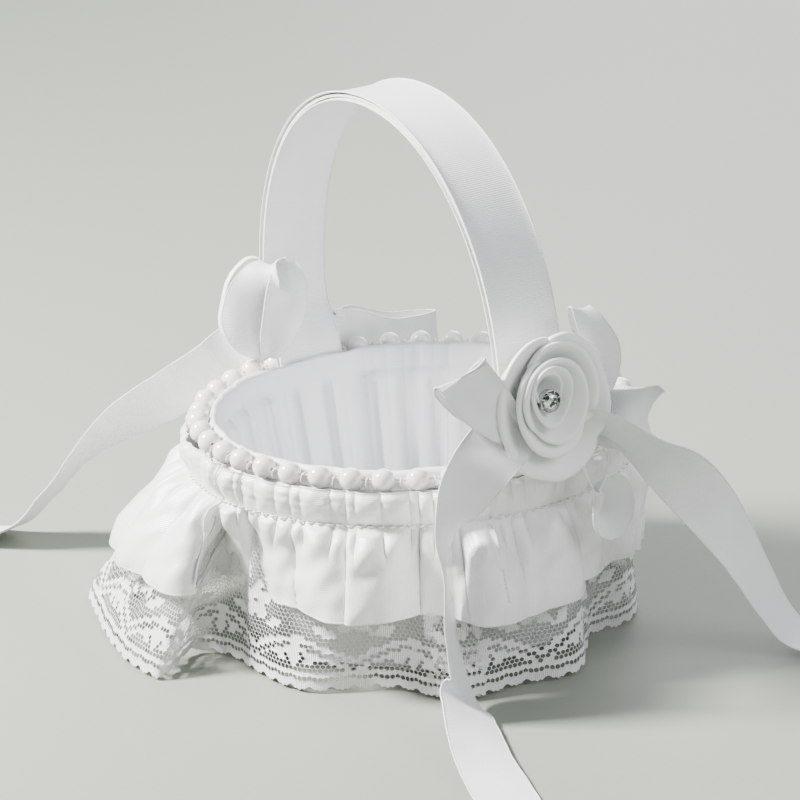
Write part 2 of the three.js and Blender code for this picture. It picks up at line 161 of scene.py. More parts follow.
def wander(turns: Array, waves: Sequence[int], seed: int) -> Array:
    """Smooth noise round a ring, between about -1 and 1.

    Args:
        turns: Places round the ring, in turns.
        waves: Whole numbers of waves that make the noise up.
        seed: Seed of the waves' phases.

    Returns:
        One value for each place.
    """
    rng = np.random.default_rng(seed)
    total = np.zeros_like(turns, dtype=float)
    for wave in waves:
        total += rng.uniform(0.5, 1.0) * np.sin(2 * np.pi * (wave * turns + rng.random()))
    return total / len(waves)


def crumple(across: Array, along: Array, length: float, seed: int, waves: int = 7) -> Array:
    """Soft uneven creases over a sheet.

    Args:
        across: Places across the sheet in millimetres.
        along: Places along the sheet in millimetres.
        length: Usual distance between creases.
        seed: Seed of the creases.
        waves: Number of plane waves added up.

    Returns:
        Heights between about -1 and 1.
    """
    rng = np.random.default_rng(seed)
    total = np.zeros(np.broadcast(across, along).shape)
    for _ in range(waves):
        heading = rng.uniform(0, math.pi)
        pitch = length * rng.uniform(0.6, 1.7)
        phase = rng.uniform(0, 2 * math.pi)
        travel = across * math.cos(heading) + along * math.sin(heading)
        total += np.sin(2 * math.pi * travel / pitch + phase)
    return total / waves * 1.6


def unit(vectors: Array) -> Array:
    """Vectors of length one along the last axis.

    Args:
        vectors: Vectors along the last axis.

    Returns:
        The vectors at length one.
    """
    return vectors / np.maximum(np.linalg.norm(vectors, axis=-1, keepdims=True), 1e-9)


def step(low: float, high: float, value: Array) -> Array:
    """A smooth rise from 0 at low to 1 at high.

    Args:
        low: Where the rise starts.
        high: Where it ends.
        value: Places to read at.

    Returns:
        One value for each place.
    """
    share = np.clip((value - low) / (high - low), 0, 1)
    return share * share * (3 - 2 * share)


# ------------------------------------------------------------------ finishes
class Shader:
    """A material's node tree, with short calls that add and join its nodes."""

    def __init__(self, name: str, colour: Colour, roughness: float, **fixed: float) -> None:
        """Start a material on the standard surface.

        Args:
            name: The material's name.
            colour: Base colour, linear.
            roughness: Base roughness.
            fixed: Other sockets of the surface, with _ for a space.
        """
        self.material = bpy.data.materials.new(name)
        self.material.use_nodes = True
        self.material.diffuse_color = (*colour, 1)
        self.tree = self.material.node_tree
        self.surface = self.tree.nodes["Principled BSDF"]
        self.surface.inputs["Base Color"].default_value = (*colour, 1)
        self.surface.inputs["Roughness"].default_value = roughness
        for socket, value in fixed.items():
            self.surface.inputs[socket.replace("_", " ")].default_value = value

    def add(self, kind: str, inputs: dict, **settings: object) -> bpy.types.Node:
        """Add one node.

        Args:
            kind: The node's type.
            inputs: Values or output sockets for its inputs, by name or number.
            settings: Properties of the node.

        Returns:
            The node.
        """
        node = self.tree.nodes.new(kind)
        for key, value in settings.items():
            setattr(node, key, value)
        for key, value in inputs.items():
            if isinstance(value, bpy.types.NodeSocket):
                self.tree.links.new(value, node.inputs[key])
            else:
                node.inputs[key].default_value = value
        return node

    def sum(self, operation: str, first: object, second: object = 0.0) -> bpy.types.NodeSocket:
        """Result of one math node.

        Args:
            operation: The node's operation.
            first: Value or socket.
            second: Value or socket.

        Returns:
            The node's result.
        """
        return self.add("ShaderNodeMath", {0: first, 1: second}, operation=operation).outputs[0]

    def cloth(self) -> bpy.types.NodeSocket:
        """Place on the flat cloth in millimetres, X across it and Y along it.

        Returns:
            The place.
        """
        return self.add("ShaderNodeUVMap", {}, uv_map=CLOTH_MAP).outputs["UV"]

    def solid(self) -> bpy.types.NodeSocket:
        """Place in the object in millimetres.

        Returns:
            The place.
        """
        place = self.add("ShaderNodeTexCoord", {}).outputs["Object"]
        return self.add("ShaderNodeVectorMath", {0: place, "Scale": 1 / MM}, operation="SCALE").outputs[0]

    def noise(self, place: bpy.types.NodeSocket, scale: float, detail: float = 3) -> bpy.types.NodeSocket:
        """Cloudy noise at a scale in clouds to the millimetre.

        Args:
            place: Place in millimetres.
            scale: Clouds to the millimetre.
            detail: Layers of finer noise.

        Returns:
            The noise, from 0 to 1.
        """
        return self.add("ShaderNodeTexNoise", {"Vector": place, "Scale": scale, "Detail": detail}).outputs[0]

    def stretched(self, place: bpy.types.NodeSocket, scale: Vec) -> bpy.types.NodeSocket:
        """Place scaled by a different amount each way.

        Args:
            place: Place in millimetres.
            scale: Factor each way.

        Returns:
            The scaled place.
        """
        node = self.add("ShaderNodeVectorMath", {0: place, 1: scale}, operation="MULTIPLY")
        return node.outputs[0]

    def threads(self, place: bpy.types.NodeSocket, pitch: float, axis: str) -> bpy.types.NodeSocket:
        """Fine parallel threads, as a height from -1 to 1.

        Args:
            place: Place in millimetres.
            pitch: Distance from thread to thread.
            axis: "X" or "Y", the way the threads are counted.

        Returns:
            The height.
        """
        part = self.add("ShaderNodeSeparateXYZ", {0: place}).outputs[axis]
        return self.sum("SINE", self.sum("MULTIPLY", part, 2 * math.pi / pitch))

    def tint(self, share: bpy.types.NodeSocket, first: Colour, second: Colour) -> None:
        """Base colour that runs from one to the other.

        Args:
            share: Noise or pattern from 0 to 1.
            first: Colour where share is low.
            second: Colour where share is high.
        """
        ramp = self.add("ShaderNodeValToRGB", {0: share})
        ramp.color_ramp.elements[0].position = 0.3
        ramp.color_ramp.elements[1].position = 0.7
        ramp.color_ramp.elements[0].color = (*first, 1)
        ramp.color_ramp.elements[1].color = (*second, 1)
        self.tree.links.new(ramp.outputs[0], self.surface.inputs["Base Color"])

    def rough(self, share: bpy.types.NodeSocket, low: float, high: float) -> None:
        """Roughness between two values.

        Args:
            share: Noise from 0 to 1.
            low: Roughness where it is 0.
            high: Roughness where it is 1.
        """
        scaled = self.sum("MULTIPLY_ADD", share, high - low)
        scaled.node.inputs[2].default_value = low
        self.tree.links.new(scaled, self.surface.inputs["Roughness"])

    def relief(self, height: bpy.types.NodeSocket, depth: float, strength: float = 1.0) -> None:
        """Bump of a given depth in millimetres.

        Args:
            height: The bump's shape.
            depth: Its depth in millimetres.
            strength: Its share.
        """
        bump = self.add("ShaderNodeBump", {"Height": height, "Distance": depth * MM, "Strength": strength})
        self.tree.links.new(bump.outputs[0], self.surface.inputs["Normal"])


@dataclass(frozen=True)
class Satin:
    """Woven satin: fine threads along the cloth, faint ribs across it and a soft sheen."""

    name: str
    colour: Colour
    shade: Colour
    roughness: float = 0.36
    thread_pitch: float = 0.42
    rib_pitch: float = 0.62
    depth: float = 0.03
    sheen: float = 0.25

    def material(self) -> bpy.types.Material:
        """Build the material.

        Returns:
            The material.
        """
        shader = Shader(self.name, self.colour, self.roughness, Sheen_Weight=self.sheen,
                        Sheen_Roughness=0.4, Anisotropic=0.45, Specular_IOR_Level=0.75)
        cloth = shader.cloth()
        along = shader.threads(cloth, self.thread_pitch, "X")
        ribs = shader.threads(cloth, self.rib_pitch, "Y")
        slubs = shader.noise(shader.stretched(cloth, (2.2, 0.16, 1)), 1.0, 2)
        weave = shader.sum("ADD", shader.sum("MULTIPLY", along, 0.35), shader.sum("MULTIPLY", ribs, 0.65))
        shader.relief(shader.sum("ADD", weave, shader.sum("MULTIPLY", slubs, 1.6)), self.depth)
        shader.tint(shader.noise(cloth, 0.06), self.shade, self.colour)
        shader.rough(slubs, self.roughness - 0.06, self.roughness + 0.08)
        return shader.material


@dataclass(frozen=True)
class Twist:
    """Spun thread: short slanting strands."""

    name: str
    colour: Colour
    pitch: float = 0.5
    depth: float = 0.06

    def material(self) -> bpy.types.Material:
        """Build the material.

        Returns:
            The material.
        """
        shader = Shader(self.name, self.colour, 0.62, Sheen_Weight=0.4, Sheen_Roughness=0.5)
        place = shader.solid()
        fibres = shader.noise(place, 3.5, 4)
        strands = shader.threads(place, self.pitch, "Z")
        shader.relief(shader.sum("ADD", strands, fibres), self.depth)
        shader.tint(fibres, tuple(part * 0.93 for part in self.colour), self.colour)
        return shader.material


@dataclass(frozen=True)
class LaceYarn:
    """Lace: matt cotton-like yarn, ribbed where it is woven solid."""

    name: str
    colour: Colour
    rib: float = 0.7

    def material(self) -> bpy.types.Material:
        """Build the material.

        Returns:
            The material.
        """
        shader = Shader(self.name, self.colour, 0.78, Sheen_Weight=0.3, Sheen_Roughness=0.5)
        cloth = shader.cloth()
        ribs = shader.threads(cloth, self.rib, "X")
        cross = shader.threads(cloth, self.rib * 0.8, "Y")
        fuzz = shader.noise(cloth, 2.6, 4)
        weave = shader.sum("ADD", ribs, shader.sum("MULTIPLY", cross, 0.45))
        shader.relief(shader.sum("ADD", weave, fuzz), 0.1)
        shader.tint(fuzz, tuple(part * 0.92 for part in self.colour), self.colour)
        return shader.material


@dataclass(frozen=True)
class Nacre:
    """Imitation pearl: a milky bead under a glossy coat, with cloudy bands of tint."""

    name: str = "pearl_nacre"
    milk: Colour = (0.87, 0.86, 0.83)
    rose: Colour = (0.81, 0.79, 0.765)

    def material(self) -> bpy.types.Material:
        """Build the material.

        Returns:
            The material.
        """
        shader = Shader(self.name, self.milk, 0.2, Coat_Weight=0.8, Coat_Roughness=0.06,
                        Specular_IOR_Level=0.7, Sheen_Weight=0.15, Sheen_Roughness=0.3)
        place = shader.solid()
        cloud = shader.noise(place, 0.35, 2)
        shader.tint(cloud, self.rose, self.milk)
        shader.rough(shader.noise(place, 1.4, 3), 0.1, 0.2)
        shader.relief(shader.noise(place, 2.0, 3), 0.01)
        return shader.material


@dataclass(frozen=True)
class Fibre:
    """Card, felt or wadding: matt matter with grain of one size."""

    name: str
    colour: Colour
    grain: float
    depth: float
    roughness: float = 0.92

    def material(self) -> bpy.types.Material:
        """Build the material.

        Returns:
            The material.
        """
        shader = Shader(self.name, self.colour, self.roughness, Sheen_Weight=0.2, Sheen_Roughness=0.6)
        place = shader.solid()
        grain = shader.noise(place, 1 / self.grain, 5)
        shader.relief(grain, self.depth)
        shader.tint(grain, tuple(part * 0.86 for part in self.colour), self.colour)
        return shader.material


@dataclass(frozen=True)
class Moulded:
    """Smooth moulded or set matter, such as a plastic strip or glue."""

    name: str
    colour: Colour
    roughness: float

    def material(self) -> bpy.types.Material:
        """Build the material.

        Returns:
            The material.
        """
        shader = Shader(self.name, self.colour, self.roughness, Coat_Weight=0.2, Coat_Roughness=0.2)
        place = shader.solid()
        flow = shader.noise(place, 0.25, 3)
        shader.relief(flow, 0.08)
        shader.rough(flow, self.roughness - 0.08, self.roughness + 0.1)
        shader.tint(flow, tuple(part * 0.94 for part in self.colour), self.colour)
        return shader.material


@dataclass(frozen=True)
class Metal:
    """Polished thin metal with faint handling marks."""

    name: str = "claw_silver"
    colour: Colour = (0.72, 0.73, 0.75)

    def material(self) -> bpy.types.Material:
        """Build the material.

        Returns:
            The material.
        """
        shader = Shader(self.name, self.colour, 0.22, Metallic=1.0)
        place = shader.solid()
        marks = shader.noise(shader.stretched(place, (1, 6, 1)), 1.5, 4)
        shader.rough(marks, 0.14, 0.34)
        shader.relief(marks, 0.01)
        shader.tint(marks, tuple(part * 0.8 for part in self.colour), self.colour)
        return shader.material


@dataclass(frozen=True)
class FoilCrystal:
    """A foil-backed crystal with painted glints and painted dark reflections: patches of its base colour are
    painted near white or near black, standing in for cut faces that flash and cut faces that stay dark.
    """

    name: str = "foil_crystal_painted_glints"
    glint_patch: float = 1.15

    def material(self) -> bpy.types.Material:
        """Build the material.

        Returns:
            The material.
        """
        shader = Shader(self.name, (0.75, 0.8, 0.8), 0.05, Metallic=0.55, Coat_Weight=1.0,
                        Coat_Roughness=0.02, Specular_IOR_Level=0.8)
        place = shader.solid()
        # Painted glints and painted dark reflections: Voronoi patches set the base colour near black, grey or
        # near white, in place of light flashing off the cut faces.
        glint_cells = shader.add("ShaderNodeTexVoronoi", {"Vector": place, "Scale": 1 / self.glint_patch},
                           distance="MANHATTAN")
        ramp = shader.add("ShaderNodeValToRGB", {0: glint_cells.outputs["Color"]})
        ramp.color_ramp.interpolation = "CONSTANT"
        stops = ramp.color_ramp.elements
        stops[0].color = (0.01, 0.014, 0.014, 1)
        stops[1].position = 0.36
        stops[1].color = (0.32, 0.38, 0.37, 1)
        stops.new(0.5).color = (0.9, 0.95, 0.94, 1)
        shader.tree.links.new(ramp.outputs[0], shader.surface.inputs["Base Color"])
        return shader.material


class Wardrobe:
    """Every finish of the basket, built once."""

    def __init__(self) -> None:
        """Build all the materials."""
        white: Colour = (0.84, 0.84, 0.83)
        self.satin = Satin("white_satin", white, (0.8, 0.8, 0.79), 0.25, sheen=0.08).material()
        self.ribbon = Satin("ribbon_satin", (0.84, 0.845, 0.855), (0.81, 0.815, 0.825), 0.33,
                            rib_pitch=0.8, depth=0.05).material()
        self.petal = Satin("petal_satin", (0.91, 0.915, 0.905), (0.89, 0.895, 0.885), 0.46,
                           depth=0.02, sheen=0.4).material()
        self.lining = Satin("lining_satin", (0.85, 0.86, 0.875), (0.82, 0.83, 0.845), 0.36,
                            sheen=0.3).material()
        self.lace = LaceYarn("lace_yarn", (0.91, 0.91, 0.9)).material()
        self.thread = Twist("white_thread", (0.88, 0.88, 0.865)).material()
        self.pearl = Nacre().material()
        self.board = Fibre("card_board", (0.66, 0.62, 0.54), 0.6, 0.12).material()
        self.felt = Fibre("white_felt", (0.82, 0.81, 0.78), 0.35, 0.35, 0.96).material()
        self.plastic = Moulded("strip_plastic", (0.76, 0.76, 0.74), 0.45).material()
        self.glue = Moulded("set_glue", (0.72, 0.7, 0.58), 0.28).material()
        self.claw = Metal().material()
        self.crystal = FoilCrystal().material()


# ------------------------------------------------------------------ making pieces
class Cloth:
    """Vertices, faces and cloth places of one piece, gathered in millimetres."""

    def __init__(self) -> None:
        """Start empty."""
        self.points: list[Array] = []
        self.weave: list[Array] = []
        self.faces: list[list[int]] = []
        self.finish: list[int] = []
        self.count = 0

    def add(self, points: Array, faces: Sequence[Sequence[int]], weave: Array, finish: int = 0) -> None:
        """Add a patch of mesh.

        Args:
            points: One row for each vertex.
            faces: Vertex numbers of each face, counted from this patch's first.
            weave: Flat cloth place of each vertex.
            finish: Number of the patch's material.
        """
        shifted = (np.asarray(faces) + self.count).tolist()
        self.points.append(points)
        self.weave.append(weave)
        self.faces.extend(shifted)
        self.finish.extend([finish] * len(shifted))
        self.count += len(points)

    def sheet(self, grid: Array, thickness: float = RIBBON_THICKNESS, closed: bool = False,
              finish: int = 0) -> None:
        """Add a sheet of even thickness.

        Args:
            grid: Points in rows along the cloth and columns across it.
            thickness: Thickness of the cloth.
            closed: Whether the last column joins the first.
            finish: Number of its material.
        """
        rows, columns = grid.shape[:2]
        if closed:
            across = np.roll(grid, -1, 1) - np.roll(grid, 1, 1)
        else:
            across = np.gradient(grid, axis=1)
        along = np.gradient(grid, axis=0)
        normal = unit(np.cross(across, along)) * thickness / 2
        flat_across = np.concatenate([[0], np.cumsum(np.linalg.norm(np.diff(grid, axis=1), axis=2).mean(0))])
        flat_along = np.concatenate([[0], np.cumsum(np.linalg.norm(np.diff(grid, axis=0), axis=2).mean(1))])
        weave = np.stack(np.meshgrid(flat_across, flat_along), axis=-1).reshape(-1, 2)
        index = np.arange(rows * columns).reshape(rows, columns)
        if closed:
            index = np.hstack([index, index[:, :1]])
        a, b, c, d = index[:-1, :-1], index[:-1, 1:], index[1:, 1:], index[1:, :-1]
        front = np.stack([a, b, c, d], axis=-1).reshape(-1, 4)
        back = front[:, ::-1] + rows * columns
        loops = [index[0][::-1], index[-1]]
        if not closed:
            loops += [index[:, 0], index[:, -1][::-1]]
        rim = [np.stack([loop[:-1], loop[1:], loop[1:] + rows * columns, loop[:-1] + rows * columns], axis=-1)
               for loop in loops]
        points = np.vstack([(grid + normal).reshape(-1, 3), (grid - normal).reshape(-1, 3)])
        self.add(points, np.vstack([front, back, *[side[:, ::-1] for side in rim]]),
                 np.vstack([weave, weave]), finish)

    def tube(self, path: Array, radius: Array | float, sides: int = 6, closed: bool = False,
             finish: int = 0) -> None:
        """Add a thread or cord along a path.

        Args:
            path: Points along its middle.
            radius: One radius, or one for each point.
            sides: Sides of its section.
            closed: Whether it joins its own start.
            finish: Number of its material.
        """
        count = len(path)
        if closed:
            heading = unit(np.roll(path, -1, 0) - np.roll(path, 1, 0))
        else:
            heading = unit(np.gradient(path, axis=0))
        lean = np.where(np.abs(heading[:, 2:3]) > 0.9, [[1.0, 0, 0]], [[0, 0, 1.0]])
        side = unit(np.cross(heading, lean))
        rise = np.cross(side, heading)
        turn = np.arange(sides) / sides * 2 * np.pi
        ring = side[:, None] * np.cos(turn)[None, :, None] + rise[:, None] * np.sin(turn)[None, :, None]
        thick = np.broadcast_to(np.asarray(radius, float), (count,))
        points = path[:, None] + ring * thick[:, None, None]
        index = np.arange(count * sides).reshape(count, sides)
        wrapped = np.hstack([index, index[:, :1]])
        if closed:
            wrapped = np.vstack([wrapped, wrapped[:1]])
        a, b, c, d = wrapped[:-1, :-1], wrapped[:-1, 1:], wrapped[1:, 1:], wrapped[1:, :-1]
        run = np.concatenate([[0], np.cumsum(np.linalg.norm(np.diff(path, axis=0), axis=1))])
        weave = np.stack([np.tile(np.arange(sides) * 0.3, count), np.repeat(run, sides)], axis=-1)
        self.add(points.reshape(-1, 3), np.stack([a, b, c, d], axis=-1).reshape(-1, 4), weave, finish)
        if not closed:
            start = self.count - count * sides
            self.faces.append((start + index[0][::-1]).tolist())
            self.faces.append((start + index[-1]).tolist())
            self.finish.extend([finish, finish])

    def edge(self, path: Array, radius: float = 0.24, pitch: float = 0.9, closed: bool = False,
             finish: int = 1) -> None:
        """Add a stitched edge, a thread with a small knot at each stitch.

        Args:
            path: The cloth's edge.
            radius: Radius of the thread.
            pitch: Distance from stitch to stitch.
            closed: Whether the edge joins its own start.
            finish: Number of its material.
        """
        run = np.concatenate([[0], np.cumsum(np.linalg.norm(np.diff(path, axis=0), axis=1))])
        count = max(int(run[-1] / pitch * 2.5), 8)
        even = sample(path, run / run[-1], np.linspace(0, 1, count, endpoint=not closed))
        stitch = np.arange(count) * (run[-1] / count) / pitch * 2 * np.pi
        self.tube(even, radius * (1 + 0.3 * np.cos(stitch)), 5, closed, finish)

    def piece(self, name: str, *materials: bpy.types.Material) -> bpy.types.Object:
        """Make the object.

        Args:
            name: The piece's name.
            materials: Its materials, in the order of the finish numbers.

        Returns:
            The object, in metres.
        """
        mesh = bpy.data.meshes.new(name)
        mesh.from_pydata((np.vstack(self.points) * MM).tolist(), [], self.faces)
        for material in materials:
            mesh.materials.append(material)
        mesh.polygons.foreach_set("material_index", np.minimum(self.finish, len(materials) - 1))
        layer = mesh.uv_layers.new(name=CLOTH_MAP)
        corners = np.empty(len(mesh.loops), dtype=np.int32)
        mesh.loops.foreach_get("vertex_index", corners)
        layer.data.foreach_set("uv", np.vstack(self.weave)[corners].astype(np.float32).ravel())
        mesh.shade_smooth()
        mesh.validate()
        made = bpy.data.objects.new(name, mesh)
        bpy.context.scene.collection.objects.link(made)
        return made


def area_of(piece: bpy.types.Object) -> float:
    """Area of a piece's faces in square metres.

    Args:
        piece: The piece.

    Returns:
        The area.
    """
    return sum(face.area for face in piece.data.polygons)


def dress(piece: bpy.types.Object, slot: Slot, *nodes: str) -> bpy.types.Object:
    """Ride a piece on the basket and hide the frame nodes it stands for.

    Args:
        piece: The piece.
        slot: Its material slot; not used.
        nodes: The frame nodes it replaces.

    Returns:
        The piece.
    """
    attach(piece, ROOT)
    if nodes:
        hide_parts(*nodes)
    log.info("%s: %d faces", piece.name, len(piece.data.polygons))
    return piece


def drawn_area(places: Array, faces: Sequence[Sequence[int]]) -> float:
    """Area of faces where they are drawn flat, in square millimetres.

    Args:
        places: Flat place of every point.
        faces: Points of every face.

    Returns:
        The area.
    """
    total = 0.0
    for sides in sorted({len(face) for face in faces}):
        loop = places[np.array([face for face in faces if len(face) == sides])]
        x, y = loop[..., 0], loop[..., 1]
        total += float(np.abs((x * np.roll(y, -1, 1) - y * np.roll(x, -1, 1)).sum(1)).sum()) / 2
    return total


def cut_sheet(piece: bpy.types.Object, flat: tuple[float, float],
              area: Optional[float] = None, layers: int = 2) -> None:
    """Log a piece's flat cut size and how much of it the mesh covers.

    Args:
        piece: The sheet.
        flat: Width and length in millimetres.
        area: Flat area in square millimetres, where the cut isn't a rectangle.
        layers: Sides of the cloth that the mesh has.
    """
    cut = area or flat[0] * flat[1]
    share = area_of(piece) / layers / (cut * MM * MM)
    log.info("%s: cut %.0f x %.0f mm, %.0f mm2, mesh is %.2f of it a layer", piece.name, *flat, cut, share)


def refinish(node: str, material: bpy.types.Material) -> None:
    """Give a frame node that stays in view its finish.

    Args:
        node: The node's name.
        material: Its finish.
    """
    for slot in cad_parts[node].material_slots:
        slot.material = material


def polar(radius: Array | float, degrees: Array | float, height: Array | float) -> Array:
    """Points from a radius and an angle round the basket's middle, and a height.

    Args:
        radius: Distance from the axis.
        degrees: Angle round it, from +X.
        height: Z.

    Returns:
        Points along the last axis.
    """
    turn = np.radians(degrees)
    return np.stack(np.broadcast_arrays(radius * np.cos(turn), radius * np.sin(turn), height), axis=-1)


# ------------------------------------------------------------------ ribbons
@dataclass(frozen=True)
class Hold:
    """A place where a ribbon's course is set: its middle, the way across it and its spread."""

    at: Vec
    across: Vec
    width: float = RIBBON_WIDTH


@dataclass
class Ribbon:
    """A satin ribbon that runs through its holds, with a stitched edge on both sides."""

    holds: Sequence[Hold]
    cup: float = 0.0
    wrinkle: float = 0.12
    seed: int = 1
    cut: float = 0.0
    flat_width: float = RIBBON_WIDTH
    pleats: int = 3
    columns: int = 19

    def course(self) -> tuple[Array, float]:
        """The ribbon's course.

        Returns:
            Rows of place, unit across and width, and the course's length.
        """
        keys = np.array([[*hold.at, *unit(np.array(hold.across, float)), hold.width] for hold in self.holds])
        fine = spline(keys, 240)
        length = float(np.linalg.norm(np.diff(fine[:, :3], axis=0), axis=1).sum())
        return fine, length

    def grid(self) -> Array:
        """Points of the ribbon's surface, rows along it and columns across it.

        Returns:
            The grid.
        """
        fine, length = self.course()
        heading = unit(np.gradient(fine[:, :3], axis=0))
        across = fine[:, 3:6]
        across = unit(across - (across * heading).sum(1, keepdims=True) * heading)
        normal = np.cross(across, heading)
        curve = np.hstack([fine[:, :3], across, normal, fine[:, 6:7]])
        shares = np.linspace(0, 1, len(curve))
        rows = max(int(length / 1.1), 24)
        columns = []
        for side in np.sin(np.linspace(-math.pi / 2, math.pi / 2, self.columns)) / 2:
            reach = 1 - self.cut * (side + 0.5) / length
            at = sample(curve, shares, np.linspace(0, reach, rows))
            width = at[:, 9:10]
            squeeze = np.clip(1 - width / (0.7 * self.flat_width), 0, 1)
            fold = 0.3 * self.flat_width * np.sqrt(squeeze) / max(self.pleats, 1) * min(self.pleats, 1)
            lift = self.cup * (1 - 4 * side**2) + fold * math.cos(2 * math.pi * self.pleats * side)
            along = np.linspace(0, length * reach, rows)
            crease = crumple(np.array(side * self.flat_width), along, 16, self.seed)[:, None]
            rise = at[:, 6:9] * (lift + self.wrinkle * crease)
            columns.append(at[:, :3] + at[:, 3:6] * width * side + rise)
        return np.stack(columns, axis=1)

    def sew(self, cloth: Cloth) -> None:
        """Add the ribbon and its two stitched edges to a piece.

        Args:
            cloth: The piece's mesh.
        """
        grid = self.grid()
        cloth.sheet(grid)
        cloth.edge(grid[:, 0], 0.3)
        cloth.edge(grid[:, -1], 0.3)


# ------------------------------------------------------------------ body of the basket
@dataclass
class Body:
    """The card body with its satin cover, bound rim, gathered lining and floor pad."""

    wardrobe: Wardrobe
    lining_folds: int = 27
    lining_pucker: float = 5.2
    foot_half_angle: float = 12.5
    wall_thickness: float = 1.8
    cover_out: float = 2.5
    cover_cut: Cut = (65, 416)
    binding_puckers: int = 64
    binding_cut: Cut = (14, 465)
    lining_back: float = 1.9
    lining_cut: Cut = (78, 500)
    pad_puckers: int = 17
    pad_pressure: float = 4.0
    pad_cap: float = 1.6
    voxel: float = 4.5

    def wall_radius(self, height: Array | float) -> Array | float:
        """Inside radius of the card wall at a height.

        Args:
            height: Height above the table.

        Returns:
            The radius.
        """
        low, high = node_box("core_wall")
        bottom = node_box("base_cover")[1][0]
        return bottom + (high[0] - bottom) * (height - low[2]) / (high[2] - low[2]) - self.wall_thickness

    def cover(self) -> None:
        """Satin drawn over the outside of the wall, with shallow draw lines."""
        low, high = node_box("outer_cover")
        turns = np.linspace(0, 1, 361)[:-1]
        rows = []
        for share in np.linspace(0, 1, 22):
            height = low[2] + (high[2] - low[2]) * share
            ripple = 0.12 * wander(turns, (17, 29, 46), 5) * (1 - share)
            rows.append(polar(self.wall_radius(height) + self.cover_out + ripple, turns * 360, height))
        cloth = Cloth()
        cloth.sheet(np.stack(rows), 0.5, closed=True)
        piece = dress(cloth.piece("outer_cover_satin", self.wardrobe.satin), Slot.SATIN, "outer_cover")
        cut_sheet(piece, self.cover_cut)

    def binding(self) -> None:
        """Satin folded over the wall's top edge, pulled into small puckers by its stitches."""
        low, high = node_box("rim_binding")
        inner = self.wall_radius(high[2] - 2.5) - 0.2
        turns = np.linspace(0, 1, 721)[:-1]
        pucker = np.abs(np.sin(np.pi * self.binding_puckers * (turns + 0.003 * wander(turns, (5, 9), 3))))
        outer = high[0]
        section = [(inner, -2.0), (inner, -0.7), (inner + 0.5, -0.1), (inner + 1.8, 0.0), (outer - 0.5, -0.3),
                   (outer - 0.1, -1.2), (outer - 0.2, -4.5), (outer - 0.3, low[2] - high[2])]
        rows = [polar(radius + 0.25 * pucker - 0.2, turns * 360, high[2] + drop - 0.2 + 0.2 * pucker)
                for radius, drop in spline(np.array(section), 22)]
        cloth = Cloth()
        cloth.sheet(np.stack(rows), 0.4, closed=True)
        piece = dress(cloth.piece("rim_binding_satin", self.wardrobe.satin), Slot.SATIN, "rim_binding")
        cut_sheet(piece, self.binding_cut)

    def lining(self) -> None:
        """Gathered lining: rolled at the pearls, tucked in front of both strap feet."""
        low, high = node_box("lining_wall")
        turns = np.linspace(0, 1, 1081)[:-1]
        degrees = turns * 360
        phase = turns * self.lining_folds + 0.5 * wander(turns, (3, 5, 8), 11)
        fold = np.abs(np.sin(np.pi * phase)) ** 0.6
        fine = np.abs(np.sin(np.pi * (phase * 2.3 + 0.4 * wander(turns, (4, 7), 12)))) ** 0.8
        from_foot = np.abs((degrees + 90) % 180 - 90)
        near_foot = 1 - step(self.foot_half_angle, self.foot_half_angle + 7, from_foot)
        strap_face = (high[0] - 0.3) / np.cos(np.radians(np.minimum(from_foot, self.foot_half_angle + 2)))
        profile = np.array([(-5.6, 73.0), (-5.1, 71.4), (-3.2, 70.2), (-1.2, 69.7), (0.0, 69.0), (-0.5, 67.9),
                            (-3.2, 67.0), (-9, 66.4)])
        rim = spline(profile, 16)
        rows = []
        for number, (drop, radius) in enumerate(rim):
            open_radius = radius - 0.5 + 0.55 * fold + 0.3 * fine
            tucked = np.minimum(strap_face - 0.2 - 1.9 * number / len(rim), open_radius)
            lift = 0.5 * wander(turns, (9, 14, 23), 13)
            place = open_radius + (tucked - open_radius) * near_foot
            rows.append(polar(place, degrees, high[2] + drop + lift))
        top = high[2] + rim[-1][0]
        for share in np.linspace(0.03, 1, 46):
            height = top + (low[2] - top) * share
            narrower = float(self.wall_radius(top) - self.wall_radius(height))
            hung = min(float(rim[-1][1]) - narrower, float(self.wall_radius(height)) - 0.6)
            deep = self.lining_pucker * (0.55 + 0.45 * share)
            open_radius = hung - self.lining_back + deep * (fold - 0.5) + 0.5 * (fine - 0.5)
            tucked = np.minimum(strap_face - narrower - 0.2, open_radius) - 0.1
            hidden = 1 - step(0.55, 0.7, np.array(share))
            place = open_radius + (tucked - open_radius) * near_foot * hidden
            rows.append(polar(place, degrees, height))
        cloth = Cloth()
        cloth.sheet(np.stack(rows)[:, ::-1], 0.35, closed=True)
        piece = dress(cloth.piece("lining_satin_wall", self.wardrobe.lining), Slot.LINING, "lining_wall")
        cut_sheet(piece, self.lining_cut)

